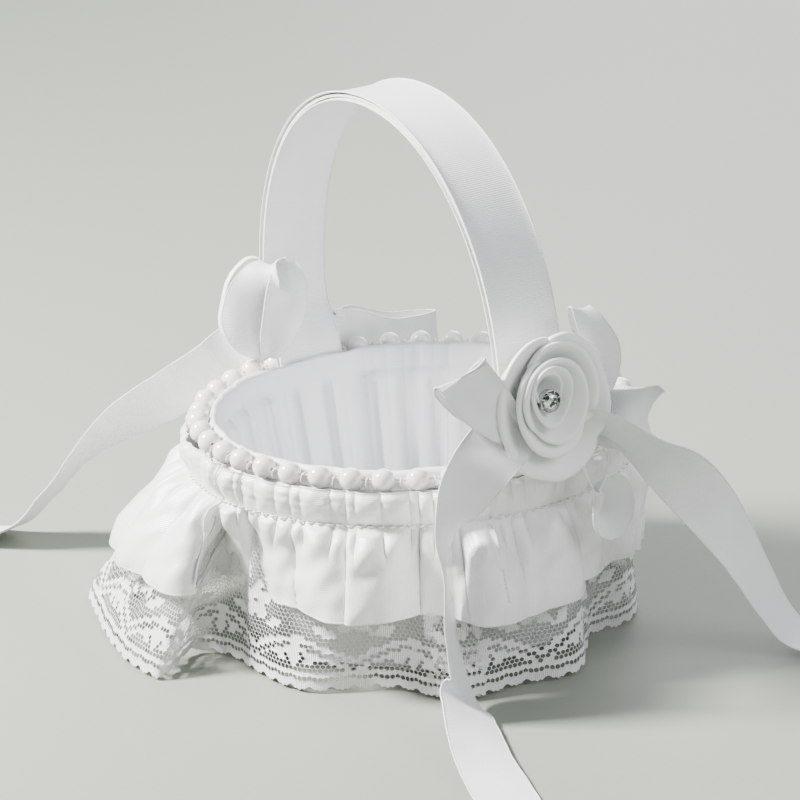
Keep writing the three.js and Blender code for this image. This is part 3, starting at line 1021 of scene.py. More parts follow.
    def pad(self) -> None:
        """Wadding under satin on the bowl's floor, swelled as cloth and quilted at its edge."""
        low, high = node_box("floor_pad")
        radius = high[0] - 2.0
        shape = bmesh.new()
        bmesh.ops.create_cone(shape, cap_ends=True, segments=64, radius1=radius * MM,
                              radius2=(radius - 1.5) * MM, depth=(high[2] - low[2] - 1.5) * MM)
        bmesh.ops.translate(shape, verts=shape.verts, vec=(0, 0, (low[2] + high[2]) / 2 * MM))
        mesh = bpy.data.meshes.new("floor_pad_satin")
        shape.to_mesh(mesh)
        shape.free()
        mesh.materials.append(self.wardrobe.lining)
        pad = bpy.data.objects.new("floor_pad_satin", mesh)
        bpy.context.scene.collection.objects.link(pad)
        remesh = pad.modifiers.new("remesh", "REMESH")
        remesh.mode = "VOXEL"
        remesh.voxel_size = self.voxel * MM
        bake_modifiers(pad)
        rest = np.array([vertex.co[:] for vertex in pad.data.vertices])
        self.swell(pad)
        swelled = np.array([vertex.co[:] for vertex in pad.data.vertices])
        moved = swelled - rest
        reach = np.linalg.norm(moved, axis=1, keepdims=True)
        settled = rest + moved * np.minimum(1, self.pad_cap * MM / np.maximum(reach, 1e-9))
        out = np.hypot(settled[:, 0], settled[:, 1]) / MM
        angle = np.arctan2(settled[:, 1], settled[:, 0])
        pucker = np.abs(np.sin(angle * self.pad_puckers + np.sin(angle * 5)))
        upper = settled[:, 2] > (low[2] + 2) * MM
        settled[:, 2] -= 0.9 * MM * pucker * step(radius - 14, radius, out) * upper
        limit = (high[0] - 0.3) * MM / np.maximum(np.hypot(settled[:, 0], settled[:, 1]), 1e-9)
        settled[:, :2] *= np.minimum(1, limit)[:, None]
        settled[:, 2] = np.maximum(settled[:, 2], low[2] * MM)
        pad.data.vertices.foreach_set("co", settled.astype(np.float32).ravel())
        smooth = pad.modifiers.new("smooth", "SUBSURF")
        smooth.levels = smooth.render_levels = 1
        bake_modifiers(pad)
        layer = pad.data.uv_layers.new(name=CLOTH_MAP)
        for loop in pad.data.loops:
            place = pad.data.vertices[loop.vertex_index].co
            layer.data[loop.index].uv = (place.x / MM, place.y / MM)
        pad.data.shade_smooth()
        dress(pad, Slot.PADDING, "floor_pad")

    def swell(self, pad: bpy.types.Object) -> None:
        """Run the pad as cloth under pressure for twenty frames and keep its last shape.

        Args:
            pad: The pad, remeshed.
        """
        cloth = pad.modifiers.new("cloth", "CLOTH")
        cloth.settings.use_pressure = True
        cloth.settings.uniform_pressure_force = self.pad_pressure
        cloth.settings.effector_weights.gravity = 0
        cloth.settings.quality = 6
        cloth.point_cache.frame_end = 20
        scene = bpy.context.scene
        for number in range(1, 21):
            scene.frame_set(number)
        bake_modifiers(pad)
        scene.frame_set(1)

    def dress(self) -> None:
        """Make every soft piece of the body and finish its hard ones."""
        for node, material in (("base_cover", self.wardrobe.felt), ("core_base", self.wardrobe.board),
                               ("core_wall", self.wardrobe.board)):
            refinish(node, material)
        self.cover()
        self.binding()
        self.lining()
        self.pad()


def bake_modifiers(piece: bpy.types.Object) -> None:
    """Replace a piece's mesh with what its modifiers make of it.

    Args:
        piece: The piece, which is left without modifiers.
    """
    graph = bpy.context.evaluated_depsgraph_get()
    graph.update()
    made = bpy.data.meshes.new_from_object(piece.evaluated_get(graph))
    piece.modifiers.clear()
    piece.data = made


# ------------------------------------------------------------------ pearls
@dataclass
class Pearls:
    """The strand on the rim: drilled beads on one thread, sewn down between them."""

    wardrobe: Wardrobe
    count: int = 41
    diameter: float = 8.0
    bore: float = 0.55
    thread: float = 0.35
    sides: int = 28
    rings: int = 15

    def bead(self, cloth: Cloth, at: Array, axis: Array, size: float) -> None:
        """Add one bead with a rounded bore mouth at both ends.

        Args:
            cloth: The mesh to add to.
            at: Middle of the bead.
            axis: Unit vector along its bore.
            size: Radius.
        """
        open_angle = math.asin(self.bore / size)
        turn = np.linspace(open_angle, math.pi - open_angle, self.rings)
        mouth = math.cos(open_angle) * 0.86
        along = np.concatenate([[mouth], np.cos(turn), [-mouth]]) * size
        out = np.concatenate([[self.bore * 0.8], np.sin(turn) * size, [self.bore * 0.8]])
        side = unit(np.cross(axis, [0, 0, 1.0]))
        rise = np.cross(side, axis)
        spin = np.arange(self.sides) / self.sides * 2 * np.pi
        ring = side * np.cos(spin)[:, None] + rise * np.sin(spin)[:, None]
        points = at + axis * along[:, None, None] + ring[None] * out[:, None, None]
        rows = len(along)
        index = np.arange(rows * self.sides).reshape(rows, self.sides)
        wrapped = np.hstack([index, index[:, :1]])
        a, b, c, d = wrapped[:-1, :-1], wrapped[1:, :-1], wrapped[1:, 1:], wrapped[:-1, 1:]
        faces = np.stack([a, b, c, d], axis=-1).reshape(-1, 4)
        cloth.add(points.reshape(-1, 3), faces, np.zeros((rows * self.sides, 2)))

    def dress(self) -> None:
        """Make the strand."""
        low, high = node_box("pearl_strand")
        ring = (high[0] - low[0]) / 2 - self.diameter / 2
        height = (low[2] + high[2]) / 2
        rng = np.random.default_rng(41)
        cloth = Cloth()
        for number in range(self.count):
            degrees = (number + 0.5) / self.count * 360 + rng.uniform(-0.35, 0.35)
            at = polar(ring + rng.uniform(-0.25, 0.25), degrees, height + rng.uniform(-0.25, 0.25))
            turn = math.radians(degrees + rng.uniform(-6, 6))
            axis = np.array([-math.sin(turn), math.cos(turn), rng.uniform(-0.06, 0.06)])
            self.bead(cloth, at, unit(axis), self.diameter / 2 * rng.uniform(0.975, 1.01))
        around = np.linspace(0, 360, 329)[:-1]
        cloth.tube(polar(ring, around, height), self.thread, 6, closed=True, finish=1)
        for number in range(self.count):
            swing = np.linspace(-0.2, 1.2, 13) * math.pi
            radius = ring + 2.4 * np.cos(swing)
            rise = height - 1.2 + (1.9 * np.sin(swing))
            cloth.tube(polar(radius, number / self.count * 360, rise), 0.22, 5, finish=1)
        piece = cloth.piece("pearl_strand_beads", self.wardrobe.pearl, self.wardrobe.thread)
        dress(piece, Slot.PEARL, "pearl_strand")


# ------------------------------------------------------------------ ruffle and lace
@dataclass
class Skirt:
    """A strip gathered on a circle, whose hem follows its own folded line.

    hem lists the angle and radius of the hem where a fold turns, in order round the basket
    from the strip's first end.
    """

    hem: Sequence[tuple[float, float]]
    top_radius: float
    top_height: float
    hem_height: float
    overlap: float
    swing: float = 1.6
    count: int = 1440

    def __post_init__(self) -> None:
        """Work out the hem line and the angle that each part of it hangs from."""
        keys = np.array([polar(radius, degrees, 0.0)[:2] for degrees, radius in self.hem])
        self.line = spline(keys, self.count + 1, closed=True)
        angle = np.unwrap(np.arctan2(self.line[:-1, 1], self.line[:-1, 0]))
        three = np.concatenate([angle - 2 * np.pi, angle, angle + 2 * np.pi])
        rising = np.maximum.accumulate(three)
        window = np.hanning(self.count // 12)
        smooth = np.convolve(rising, window / window.sum(), mode="same")
        self.hang = np.append(smooth[self.count : 2 * self.count], smooth[self.count] + 2 * np.pi)
        self.length = float(np.linalg.norm(np.diff(self.line, axis=0), axis=1).sum())

    def columns(self, count: int) -> Array:
        """Shares of the strip's round trip, from 0 to past 1 by its overlap.

        Args:
            count: Number of columns.

        Returns:
            The shares.
        """
        return np.linspace(0, 1 + self.overlap, count)

    def at(self, share: Array, drop: Array) -> Array:
        """Points of the hanging strip, before its small folds.

        Args:
            share: Place along the strip, where 1 is once round.
            drop: 0 at the gathered top to 1 at the hem.

        Returns:
            Points of the broadcast shape.
        """
        turn, part = np.divmod(share, 1.0)
        even = np.linspace(0, 1, self.count + 1)
        x, y = (np.interp(part, even, self.line[:, k]) for k in (0, 1))
        angle = np.interp(part, even, self.hang) + 2 * np.pi * turn
        swing = 1 - (1 - drop) ** self.swing
        top_x, top_y = self.top_radius * np.cos(angle), self.top_radius * np.sin(angle)
        height = self.top_height + (self.hem_height - self.top_height) * drop
        parts = top_x + (x - top_x) * swing, top_y + (y - top_y) * swing, height
        return np.stack(np.broadcast_arrays(*parts), -1)


def outward(points: Array) -> Array:
    """Level unit vectors away from the basket's middle.

    Args:
        points: Places round the basket.

    Returns:
        One vector for each place.
    """
    flat = points * np.array([1.0, 1.0, 0.0])
    return unit(flat)


RUFFLE_HEM = (
    (-21, 92), (-12, 95), (3, 89), (14, 80), (25, 76), (37, 80), (50, 78), (64, 76), (80, 83), (95, 79),
    (110, 90), (125, 81), (140, 93), (155, 84), (170, 96), (186, 88), (202, 99), (216, 93), (234, 106),
    (250, 103), (263, 100), (272, 94), (265, 78), (270, 71), (281, 72), (291, 78), (301, 84), (310, 89),
    (319, 88), (331, 79),
)
LACE_HEM = (
    (-31, 84), (-23, 90), (-9, 85), (5, 87), (16, 76), (27, 69), (38, 76), (50, 77), (64, 74), (80, 82),
    (95, 78), (110, 88), (124, 80), (139, 92), (154, 84), (170, 98), (186, 92), (202, 108), (212, 106),
    (224, 120), (234, 115), (250, 110), (262, 109), (271, 107), (268, 97), (262, 86), (268, 78), (276, 77.5),
    (287, 81), (298, 85), (305, 83), (316, 77), (323, 78),
)


@dataclass
class Ruffle:
    """One strip of satin, gathered on a running stitch, with a puckered heading above it."""

    wardrobe: Wardrobe
    puckers: int = 26
    heading_flare: float = 3.4
    pucker_depth: float = 9.5
    fold_depth: float = 2.2
    stitch_pairs: int = 150
    cut: Cut = (50, 700)
    columns: int = 1500
    skirt: Skirt = field(init=False)

    def __post_init__(self) -> None:
        """Hang the skirt from the gathering line."""
        low, high = node_box("satin_ruffle")
        stitch = middle("gathering_thread")[2]
        thread = node_box("gathering_thread")[1][0]
        self.top = high[2] + 1.5
        self.skirt = Skirt(RUFFLE_HEM, thread - 1.6, stitch, low[2] + 0.4, overlap=0.02)

    def pucker(self, share: Array, shift: float = 0.0) -> tuple[Array, Array, Array]:
        """Gathers along the strip.

        Args:
            share: Places along the strip.
            shift: How far the creases have drifted, in gathers.

        Returns:
            The pillows between the main creases, the finer gathers, and the broad folds, each
            from 0 in a crease to 1 on a crown.
        """
        wave = share * self.puckers + 0.4 * wander(share, (3, 5, 9, 14), 21)
        drift = wave + shift * wander(share, (7, 11, 16), 26)
        rng = np.random.default_rng(27)
        number, part = np.floor(drift).astype(int) % self.puckers, drift % 1.0
        size = rng.uniform(0.65, 1.2, self.puckers)[number]
        skew = np.where(rng.random(self.puckers)[number] < 0.5, part**0.6, 1 - (1 - part) ** 0.6)
        pillow = np.abs(np.sin(np.pi * skew)) ** 0.55 * size
        fine = np.abs(np.sin(np.pi * (drift * 2.37 + 0.5 * wander(share, (6, 13), 22)))) ** 0.6
        broad = np.abs(np.sin(np.pi * (wave * 0.9 + 0.3 * wander(share, (4, 7), 23)))) ** 1.2
        return pillow, fine, broad

    def surface(self) -> Array:
        """Points of the whole strip, from the heading's top edge to the hem.

        Returns:
            The grid, in rows.
        """
        share = self.skirt.columns(self.columns)
        length = share * self.skirt.length
        pillow, fine, _ = self.pucker(share)
        under = step(1.0, 1.005, share) * 1.1
        rows = []
        for rise in np.linspace(1, 0, 19)[:-1]:
            base = self.skirt.at(share, np.array(0.0))
            swell = math.sin(rise * math.pi * 0.72)
            drawn = crumple(length / 3.0, np.array(rise * 11.5), 3.4, 24)
            crown = swell * (self.heading_flare * (pillow - 0.3) + 1.5 * fine + 0.28 * drawn)
            curl = -1.2 * max(rise - 0.82, 0) / 0.18
            uneven = 0.8 * wander(share, (13, 22, 31), 24)
            base[:, 2] += rise * (self.top - self.skirt.top_height + uneven)
            rows.append(base + outward(base) * (0.3 + crown + curl + under)[:, None])
        for drop in np.linspace(0, 1, 60) ** 1.1:
            pillow, fine, broad = self.pucker(share, 0.5 * drop)
            base = self.skirt.at(share, np.array(drop))
            full = 0.85 * math.exp(-(((drop - 0.24) / 0.3) ** 2))
            full += 0.34 * math.exp(-(((drop - 0.8) / 0.3) ** 2))
            short = math.exp(-(((drop - 0.14) / 0.14) ** 2))
            pinch = min(drop / 0.07, 1)
            depth = self.pucker_depth * full * (pillow - 0.5) + 3.6 * short * (fine - 0.5)
            depth = depth * pinch + self.fold_depth * drop * (broad - 0.5)
            crease = (1.2 - 0.6 * drop) * crumple(length, np.array(drop * 34), 15, 25, 9)
            fringe = 0.3 * (1 - pinch) * pillow
            rows.append(base + outward(base) * (depth + crease * pinch + fringe + under)[:, None])
        return np.stack(rows)

    def stitches(self) -> None:
        """The running stitch that gathers the strip, in and out of the cloth."""
        share = np.linspace(0, 1, 1500)[:-1]
        pillow, _, _ = self.pucker(share)
        base = self.skirt.at(share, np.array(0.0))
        in_out = 0.75 + 0.8 * np.sin(2 * np.pi * share * self.stitch_pairs)
        path = base + outward(base) * (in_out + 0.3 * pillow)[:, None]
        cloth = Cloth()
        cloth.tube(path, 0.34, 6, closed=True)
        dress(cloth.piece("gathering_stitches", self.wardrobe.thread), Slot.THREAD, "gathering_thread")

    def dress(self) -> None:
        """Make the strip with its merrowed hem and its stitched end."""
        grid = self.surface()
        cloth = Cloth()
        cloth.sheet(grid, 0.4)
        cloth.edge(grid[-1], 0.36, 1.0)
        cloth.edge(grid[18:, -1], 0.5, 1.5)
        cloth.edge(grid[0], 0.26, 1.0)
        piece = dress(cloth.piece("ruffle_satin", self.wardrobe.satin, self.wardrobe.thread), Slot.SATIN,
                      "satin_ruffle")
        cut_sheet(piece, self.cut)
        self.stitches()


@dataclass
class LacePattern:
    """Which meshes of the lace are open. Places are millimetres along and up from its edge."""

    repeat: float = 44.0
    mesh_width: float = 1.9
    mesh_rise: float = 1.55
    net: float = 0.89
    eyelet: float = 0.865
    pinhole: float = 0.0
    scallop: float = 7.6
    scallop_depth: float = 1.7

    def leaf(self, along: Array, up: Array, centre: tuple[float, float], lean: float,
             size: tuple[float, float]) -> Array:
        """Distance from a leaf's middle, where 1 is its outline.

        Args:
            along: Places along the lace, within one repeat.
            up: Places up from the edge.
            centre: The leaf's middle.
            lean: Its lean from upright in degrees.
            size: Half its length and half its width.

        Returns:
            The distance.
        """
        across = (along - centre[0] + self.repeat / 2) % self.repeat - self.repeat / 2
        rise = up - centre[1]
        turn = math.radians(lean)
        length = across * math.sin(turn) + rise * math.cos(turn)
        width = across * math.cos(turn) - rise * math.sin(turn)
        taper = 1 - 0.35 * np.clip(np.abs(length) / size[0], 0, 1)
        return np.sqrt((length / size[0]) ** 2 + (width / (size[1] * taper)) ** 2)

    def openness(self, along: Array, up: Array) -> Array:
        """Share of each mesh that is open, from 0 where the lace is woven solid.

        Args:
            along: Places along the lace.
            up: Places up from its edge.

        Returns:
            One share for each mesh.
        """
        arc = np.abs(np.sin(np.pi * along / self.repeat))
        inner = 9.5 + 8.5 * arc
        opened = np.full(along.shape, self.net)
        opened[(up > inner - 1.0) & (up < inner + 1.3)] = 0
        fan = (up > 6.6) & (up <= inner - 1.0)
        opened[fan] = self.eyelet
        opened[fan & (np.abs(up - (inner - 4.0)) < 0.9)] = 0
        half = self.repeat / 2
        for lean, centre, size in ((0, (half, 12.6), (4.6, 2.6)), (-42, (half - 6.6, 11.4), (4.0, 2.2)),
                                   (42, (half + 6.6, 11.4), (4.0, 2.2))):
            opened[self.leaf(along, up, centre, lean, size) < 1.0] = 0
        for number in range(5):
            lean = number * 72
            centre = (4.6 * math.sin(math.radians(lean)), 28 + 4.6 * math.cos(math.radians(lean)))
            opened[self.leaf(along, up, centre, lean, (4.3, 2.5)) < 1.0] = 0
        opened[self.leaf(along, up, (0, 28), 0, (1.5, 1.5)) < 1.0] = self.eyelet
        for side in (-1, 1):
            for height, reach, lean in ((22, 10.5, 62), (33, 11.5, 118), (42, 6, 28)):
                opened[self.leaf(along, up, (side * reach, height), side * lean, (5.4, 2.1)) < 1.0] = 0
        opened[(up > 3.6) & (up <= 5.0)] = self.eyelet
        opened[(up <= 3.6)] = self.pinhole
        opened[(up > 5.0) & (up <= 6.6)] = 0
        return opened

    def edge(self, along: Array, up: Array) -> Array:
        """Places up the lace once its lower edge is drawn out into scallops.

        Args:
            along: Places along the lace.
            up: Places up from its edge.

        Returns:
            The moved places.
        """
        hang = self.scallop_depth * (np.abs(np.sin(np.pi * along / self.scallop)) ** 0.7 - 0.3)
        return up - hang * np.clip(1 - up / 7.0, 0, 1)


@dataclass
class Flounce:
    """One strip of lace, gathered on a woven tape, as real meshes of thread."""

    wardrobe: Wardrobe
    pattern: LacePattern = field(default_factory=LacePattern)
    width: float = 60.0
    relief: float = 0.16
    fold_depth: float = 1.5
    tape_length: float = 447.0
    narrowest_cut: float = 10.0
    skirt: Skirt = field(init=False)

    def __post_init__(self) -> None:
        """Hang the lace from its tape."""
        low, high = node_box("lace_flounce")
        tape = node_box("lace_tape")[1][0]
        self.skirt = Skirt(LACE_HEM, tape + 0.9, high[2] - 0.4, low[2] + 1.3, overlap=0.035, swing=1.25)

    def surface(self, rows: int = 40, columns: int = 1500) -> tuple[Array, Array, Array]:
        """Coarse points of the hanging lace, with the shares that they stand for.

        Args:
            rows: Rows from top to hem.
            columns: Columns along the strip.

        Returns:
            The points, the rows' drops and the columns' shares.
        """
        share = self.skirt.columns(columns)
        fold = np.sin(2 * np.pi * (share * 31 + 0.8 * wander(share, (3, 5, 8), 31)))
        under = step(1.0, 1.004, share) * 0.9
        drops = np.linspace(0, 1, rows)
        levels = []
        for drop in drops:
            base = self.skirt.at(share, np.array(drop))
            depth = self.fold_depth * math.sin(math.pi * min(drop * 1.25, 1) * 0.9) * fold * (1 - 0.55 * drop)
            levels.append(base + outward(base) * (depth + under)[:, None])
        return np.stack(levels), drops, share

    def lay(self, along: Array, up: Array, lift: float) -> Array:
        """Put flat places of the lace on the hanging strip.

        Args:
            along: Places along the lace.
            up: Places up from its edge.
            lift: How far out of the surface.

        Returns:
            One point for each place.
        """
        grid, _, _ = self.surface()
        rows, columns = grid.shape[:2]
        normal = unit(np.cross(np.gradient(grid, axis=1), np.gradient(grid, axis=0)))
        x = np.clip(along / self.flat_length, 0, 1) * (columns - 1)
        y = (1 - up / self.width) * (rows - 1)
        i = np.clip(x.astype(int), 0, columns - 2)
        j = np.clip(np.floor(y).astype(int), 0, rows - 2)
        s, t = (x - i)[:, None], (y - j)[:, None]

        def blend(values: Array) -> Array:
            """Values between the four points around each place.

            Args:
                values: One row for each coarse point.

            Returns:
                One row for each place.
            """
            top = values[j, i] * (1 - s) + values[j, i + 1] * s
            bottom = values[j + 1, i] * (1 - s) + values[j + 1, i + 1] * s
            return top * (1 - t) + bottom * t

        laid = blend(grid) + blend(normal) * lift
        laid[:, 2] = np.maximum(laid[:, 2], 0.25)
        return laid

    @property
    def flat_length(self) -> float:
        """Length of the strip when it is laid flat.

        Returns:
            The length in millimetres.
        """
        return self.skirt.length * (1 + self.skirt.overlap)

    def meshes(self) -> Cloth:
        """Every mesh of the lace, as a frame of thread or as solid weave.

        Returns:
            The lace's mesh.
        """
        pattern = self.pattern
        columns = int(self.flat_length / pattern.mesh_width)
        rows = int(self.width / pattern.mesh_rise)
        column, row = (part.ravel() for part in np.meshgrid(np.arange(columns), np.arange(rows)))
        lattice = np.array([(0, 2), (1, 1), (1, -1), (0, -2), (-1, -1), (-1, 1)])
        corner = np.stack([2 * column + row % 2, 3 * row + 1], axis=1)[:, None] + lattice
        keys, number = np.unique(corner.reshape(-1, 2), axis=0, return_inverse=True)
        number = number.reshape(-1, 6)
        scale = np.array([pattern.mesh_width / 2, pattern.mesh_rise / 3])
        flat = keys * scale
        centre = corner.mean(1) * scale
        opened = pattern.openness(centre[:, 0], centre[:, 1])
        shut = opened < 0.05
        cloth = Cloth()
        holes = ~shut
        ring = centre[holes, None] + (flat[number[holes]] - centre[holes, None]) * opened[holes, None, None]
        places = np.vstack([flat, ring.reshape(-1, 2)])
        drawn = np.stack([places[:, 0], pattern.edge(places[:, 0], places[:, 1])], axis=1)
        count = len(flat)
        points = np.vstack([self.lay(drawn[:count, 0], drawn[:count, 1], self.relief),
                            self.lay(drawn[count:, 0], drawn[count:, 1], 0.0)])
        cloth.points.append(points)
        cloth.weave.append(drawn)
        cloth.count = len(points)
        outer = number[holes]
        inner = count + np.arange(len(outer) * 6).reshape(-1, 6)
        frames = [np.stack([outer[:, k], outer[:, (k + 1) % 6], inner[:, (k + 1) % 6], inner[:, k]], axis=1)
                  for k in range(6)]
        cloth.faces.extend(np.vstack(frames)[:, ::-1].tolist())
        cloth.faces.extend(number[shut][:, ::-1].tolist())
        cloth.finish.extend([0] * len(cloth.faces))
        return cloth

    def tape(self) -> None:
        """The woven tape that carries the lace."""
        low, high = node_box("lace_tape")
        turns = np.linspace(0, 1, 481)[:-1]
        rows = [polar(high[0] - 0.3 + 0.1 * wander(turns, (19, 33), 35), turns * 360, height)
                for height in np.linspace(high[2], low[2], 9)]
        cloth = Cloth()
        cloth.sheet(np.stack(rows), 0.5, closed=True)
        piece = dress(cloth.piece("lace_tape_woven", self.wardrobe.lace), Slot.THREAD, "lace_tape")
        cloth_width = high[2] - low[2]
        flat = (max(cloth_width, self.narrowest_cut), self.tape_length)
        cut_sheet(piece, flat, cloth_width * self.tape_length)

    def dress(self) -> None:
        """Make the lace."""
        cloth = self.meshes()
        thread = drawn_area(cloth.weave[0], cloth.faces)
        piece = dress(cloth.piece("lace_flounce_net", self.wardrobe.lace), Slot.LACE, "lace_flounce")
        cut_sheet(piece, (self.width, self.flat_length), thread, layers=1)
        self.tape()


# ------------------------------------------------------------------ handle
@dataclass
class Strap:
    """The arch handle: a stiff strip between two ribbons, with a wrapped end at its far leg."""

    wardrobe: Wardrobe
    width: float = 25.0
    wrap_top: float = 168.0
    wrap_foot: float = 66.0
    wrap_slant: float = 9.0
    wrap_length: float = 105.0
    seed: int = 51

    def stations(self, node: str) -> Array:
        """Middle line of a strap layer, from the near foot to the far foot.

        Args:
            node: The layer's frame node.

        Returns:
            Points in the arch's plane, as X and Z.
        """
        corners = np.array([vertex.co[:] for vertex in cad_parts[node].data.vertices]) / MM
        flat = np.unique(np.round(corners[:, [0, 2]], 2), axis=0)
        hub = (flat.min(0) + flat.max(0)) / 2 * np.array([1, 0]) + np.array([0, flat[:, 1].min() + 28])
        order = np.argsort(np.arctan2(flat[:, 1] - hub[1], flat[:, 0] - hub[0]))
        pairs = flat[order][: len(flat) // 2 * 2].reshape(-1, 2, 2)
        return pairs.mean(1)

    def layer(self, name: str, node: str, lift: float) -> None:
        """Make one ribbon of the strap.

        Args:
            name: The piece's name.
            node: The frame node it stands for.
            lift: How far its middle bows away from the strip.
        """
        line = self.stations(node)
        keys = np.insert(line, 1, 0.0, axis=1)
        fine = spline(keys, 300)
        heading = unit(np.gradient(fine, axis=0))
        normal = np.cross(heading, [0, 1.0, 0])
        length = float(np.linalg.norm(np.diff(fine, axis=0), axis=1).sum())
        along = np.linspace(0, length, len(fine))
        columns = []
        for side in np.sin(np.linspace(-math.pi / 2, math.pi / 2, 21)) * self.width / 2:
            reach = 2 * side / self.width
            bow = lift * (1 - reach**2) - math.copysign(0.5, lift) * reach**10
            crease = 0.09 * crumple(np.array(side), along, 30, self.seed)
            columns.append(fine + np.array([0, 1.0, 0]) * side + normal * (bow + crease)[:, None])
        grid = np.stack(columns, axis=1)
        cloth = Cloth()
        cloth.sheet(grid, 0.3)
        cloth.edge(grid[:, 0], 0.3, 0.9)
        cloth.edge(grid[:, -1], 0.3, 0.9)
        piece = dress(cloth.piece(name, self.wardrobe.ribbon, self.wardrobe.thread), Slot.SATIN, node)
        cut_sheet(piece, (self.width, length))

    def wrapped_end(self) -> None:
        """The inner ribbon's second turn on the far leg, cut on the slant."""
        line = self.stations("handle_inner_ribbon")
        keys = np.insert(line, 1, 0.0, axis=1)
        fine = spline(keys, 300)
        far = fine[fine[:, 0] < 0]
        part = far[(far[:, 2] < self.wrap_top) & (far[:, 2] > self.wrap_foot)]
        heading = unit(np.gradient(part, axis=0))
        inward = -np.cross(heading, [0, 1.0, 0])
        grid = []
        for side in np.linspace(-0.5, 0.5, 15):
            drop = self.wrap_slant * (0.5 - side)
            start = np.searchsorted(-part[:, 2], -(self.wrap_top - drop))
            shares = np.linspace(0, 1, len(part))
            at = sample(part, shares, np.linspace(start / len(part), 1, 60))
            lean = sample(inward, shares, np.linspace(start / len(part), 1, 60))
            grid.append(at + np.array([0, 1.0, 0]) * side * (self.width - 0.6) + lean * 0.5)
        cloth = Cloth()
        cloth.sheet(np.stack(grid, axis=1), 0.25)
        piece = dress(cloth.piece("strap_wrapped_end", self.wardrobe.ribbon), Slot.SATIN)
        cut_sheet(piece, (self.width, self.wrap_length))

    def dress(self) -> None:
        """Make the strap's ribbons and finish its hard pieces."""
        refinish("handle_core", self.wardrobe.plastic)
        refinish("handle_glue_near", self.wardrobe.glue)
        refinish("handle_glue_far", self.wardrobe.glue)
        self.layer("strap_outer_ribbon", "handle_outer_ribbon", 0.15)
        self.layer("strap_inner_ribbon", "handle_inner_ribbon", -0.12)
        self.wrapped_end()


# ------------------------------------------------------------------ rosettes
@dataclass(frozen=True)
class Petal:
    """One petal of the rose, with an egg-shaped lip seen from the rose's face.

    Places are for a rose of 23.5 mm, from its middle. begin and span are degrees round the
    lip, anticlockwise from the right, and sink is how far the lip lies behind the front.
    """

    centre: tuple[float, float]
    wide: float
    tall: float
    egg: float
    sink: float
    begin: float
    span: float
    tuck: float = 0.12
    lean: float = 0.0


ROSE_RADIUS = 23.5
ROSE: dict[str, tuple[Petal, ...]] = {
    "inner_petals": (
        Petal((-2.0, 6.9), 5.2, 6.5, 0.32, 0.9, 100, 400, 0.2, 20),
        Petal((-0.9, 5.0), 7.6, 10.4, 0.16, 0.0, 150, 395, 0.14, 25),
    ),
    "middle_petals": (
        Petal((1.2, 2.5), 12.6, 14.9, 0.06, 1.2, 215, 385, 0.16, 25),
        Petal((2.0, 1.6), 15.2, 18.6, 0.03, 2.6, 110, 230, 0.16, 30),
        Petal((3.0, 3.2), 16.4, 19.2, -0.04, 3.4, -50, 185, 0.18, 30),
    ),
    "outer_petals": (
        Petal((1.6, 0.0), 20.8, 25.2, 0.02, 5.2, 84, 160, 0.12, 25),
        Petal((2.6, -0.8), 21.6, 25.6, 0.0, 4.6, -48, 150, 0.14, 35),
        Petal((2.8, -1.2), 21.0, 25.2, 0.0, 4.9, 202, 142, 0.24, -18),
    ),
}
PETAL_PROFILE = ((0.22, -9.5), (0.5, -6.2), (0.7, -3.4), (0.86, -1.3), (0.95, -0.3), (0.99, -0.2),
                 (1.0, -0.9), (0.98, -1.9))


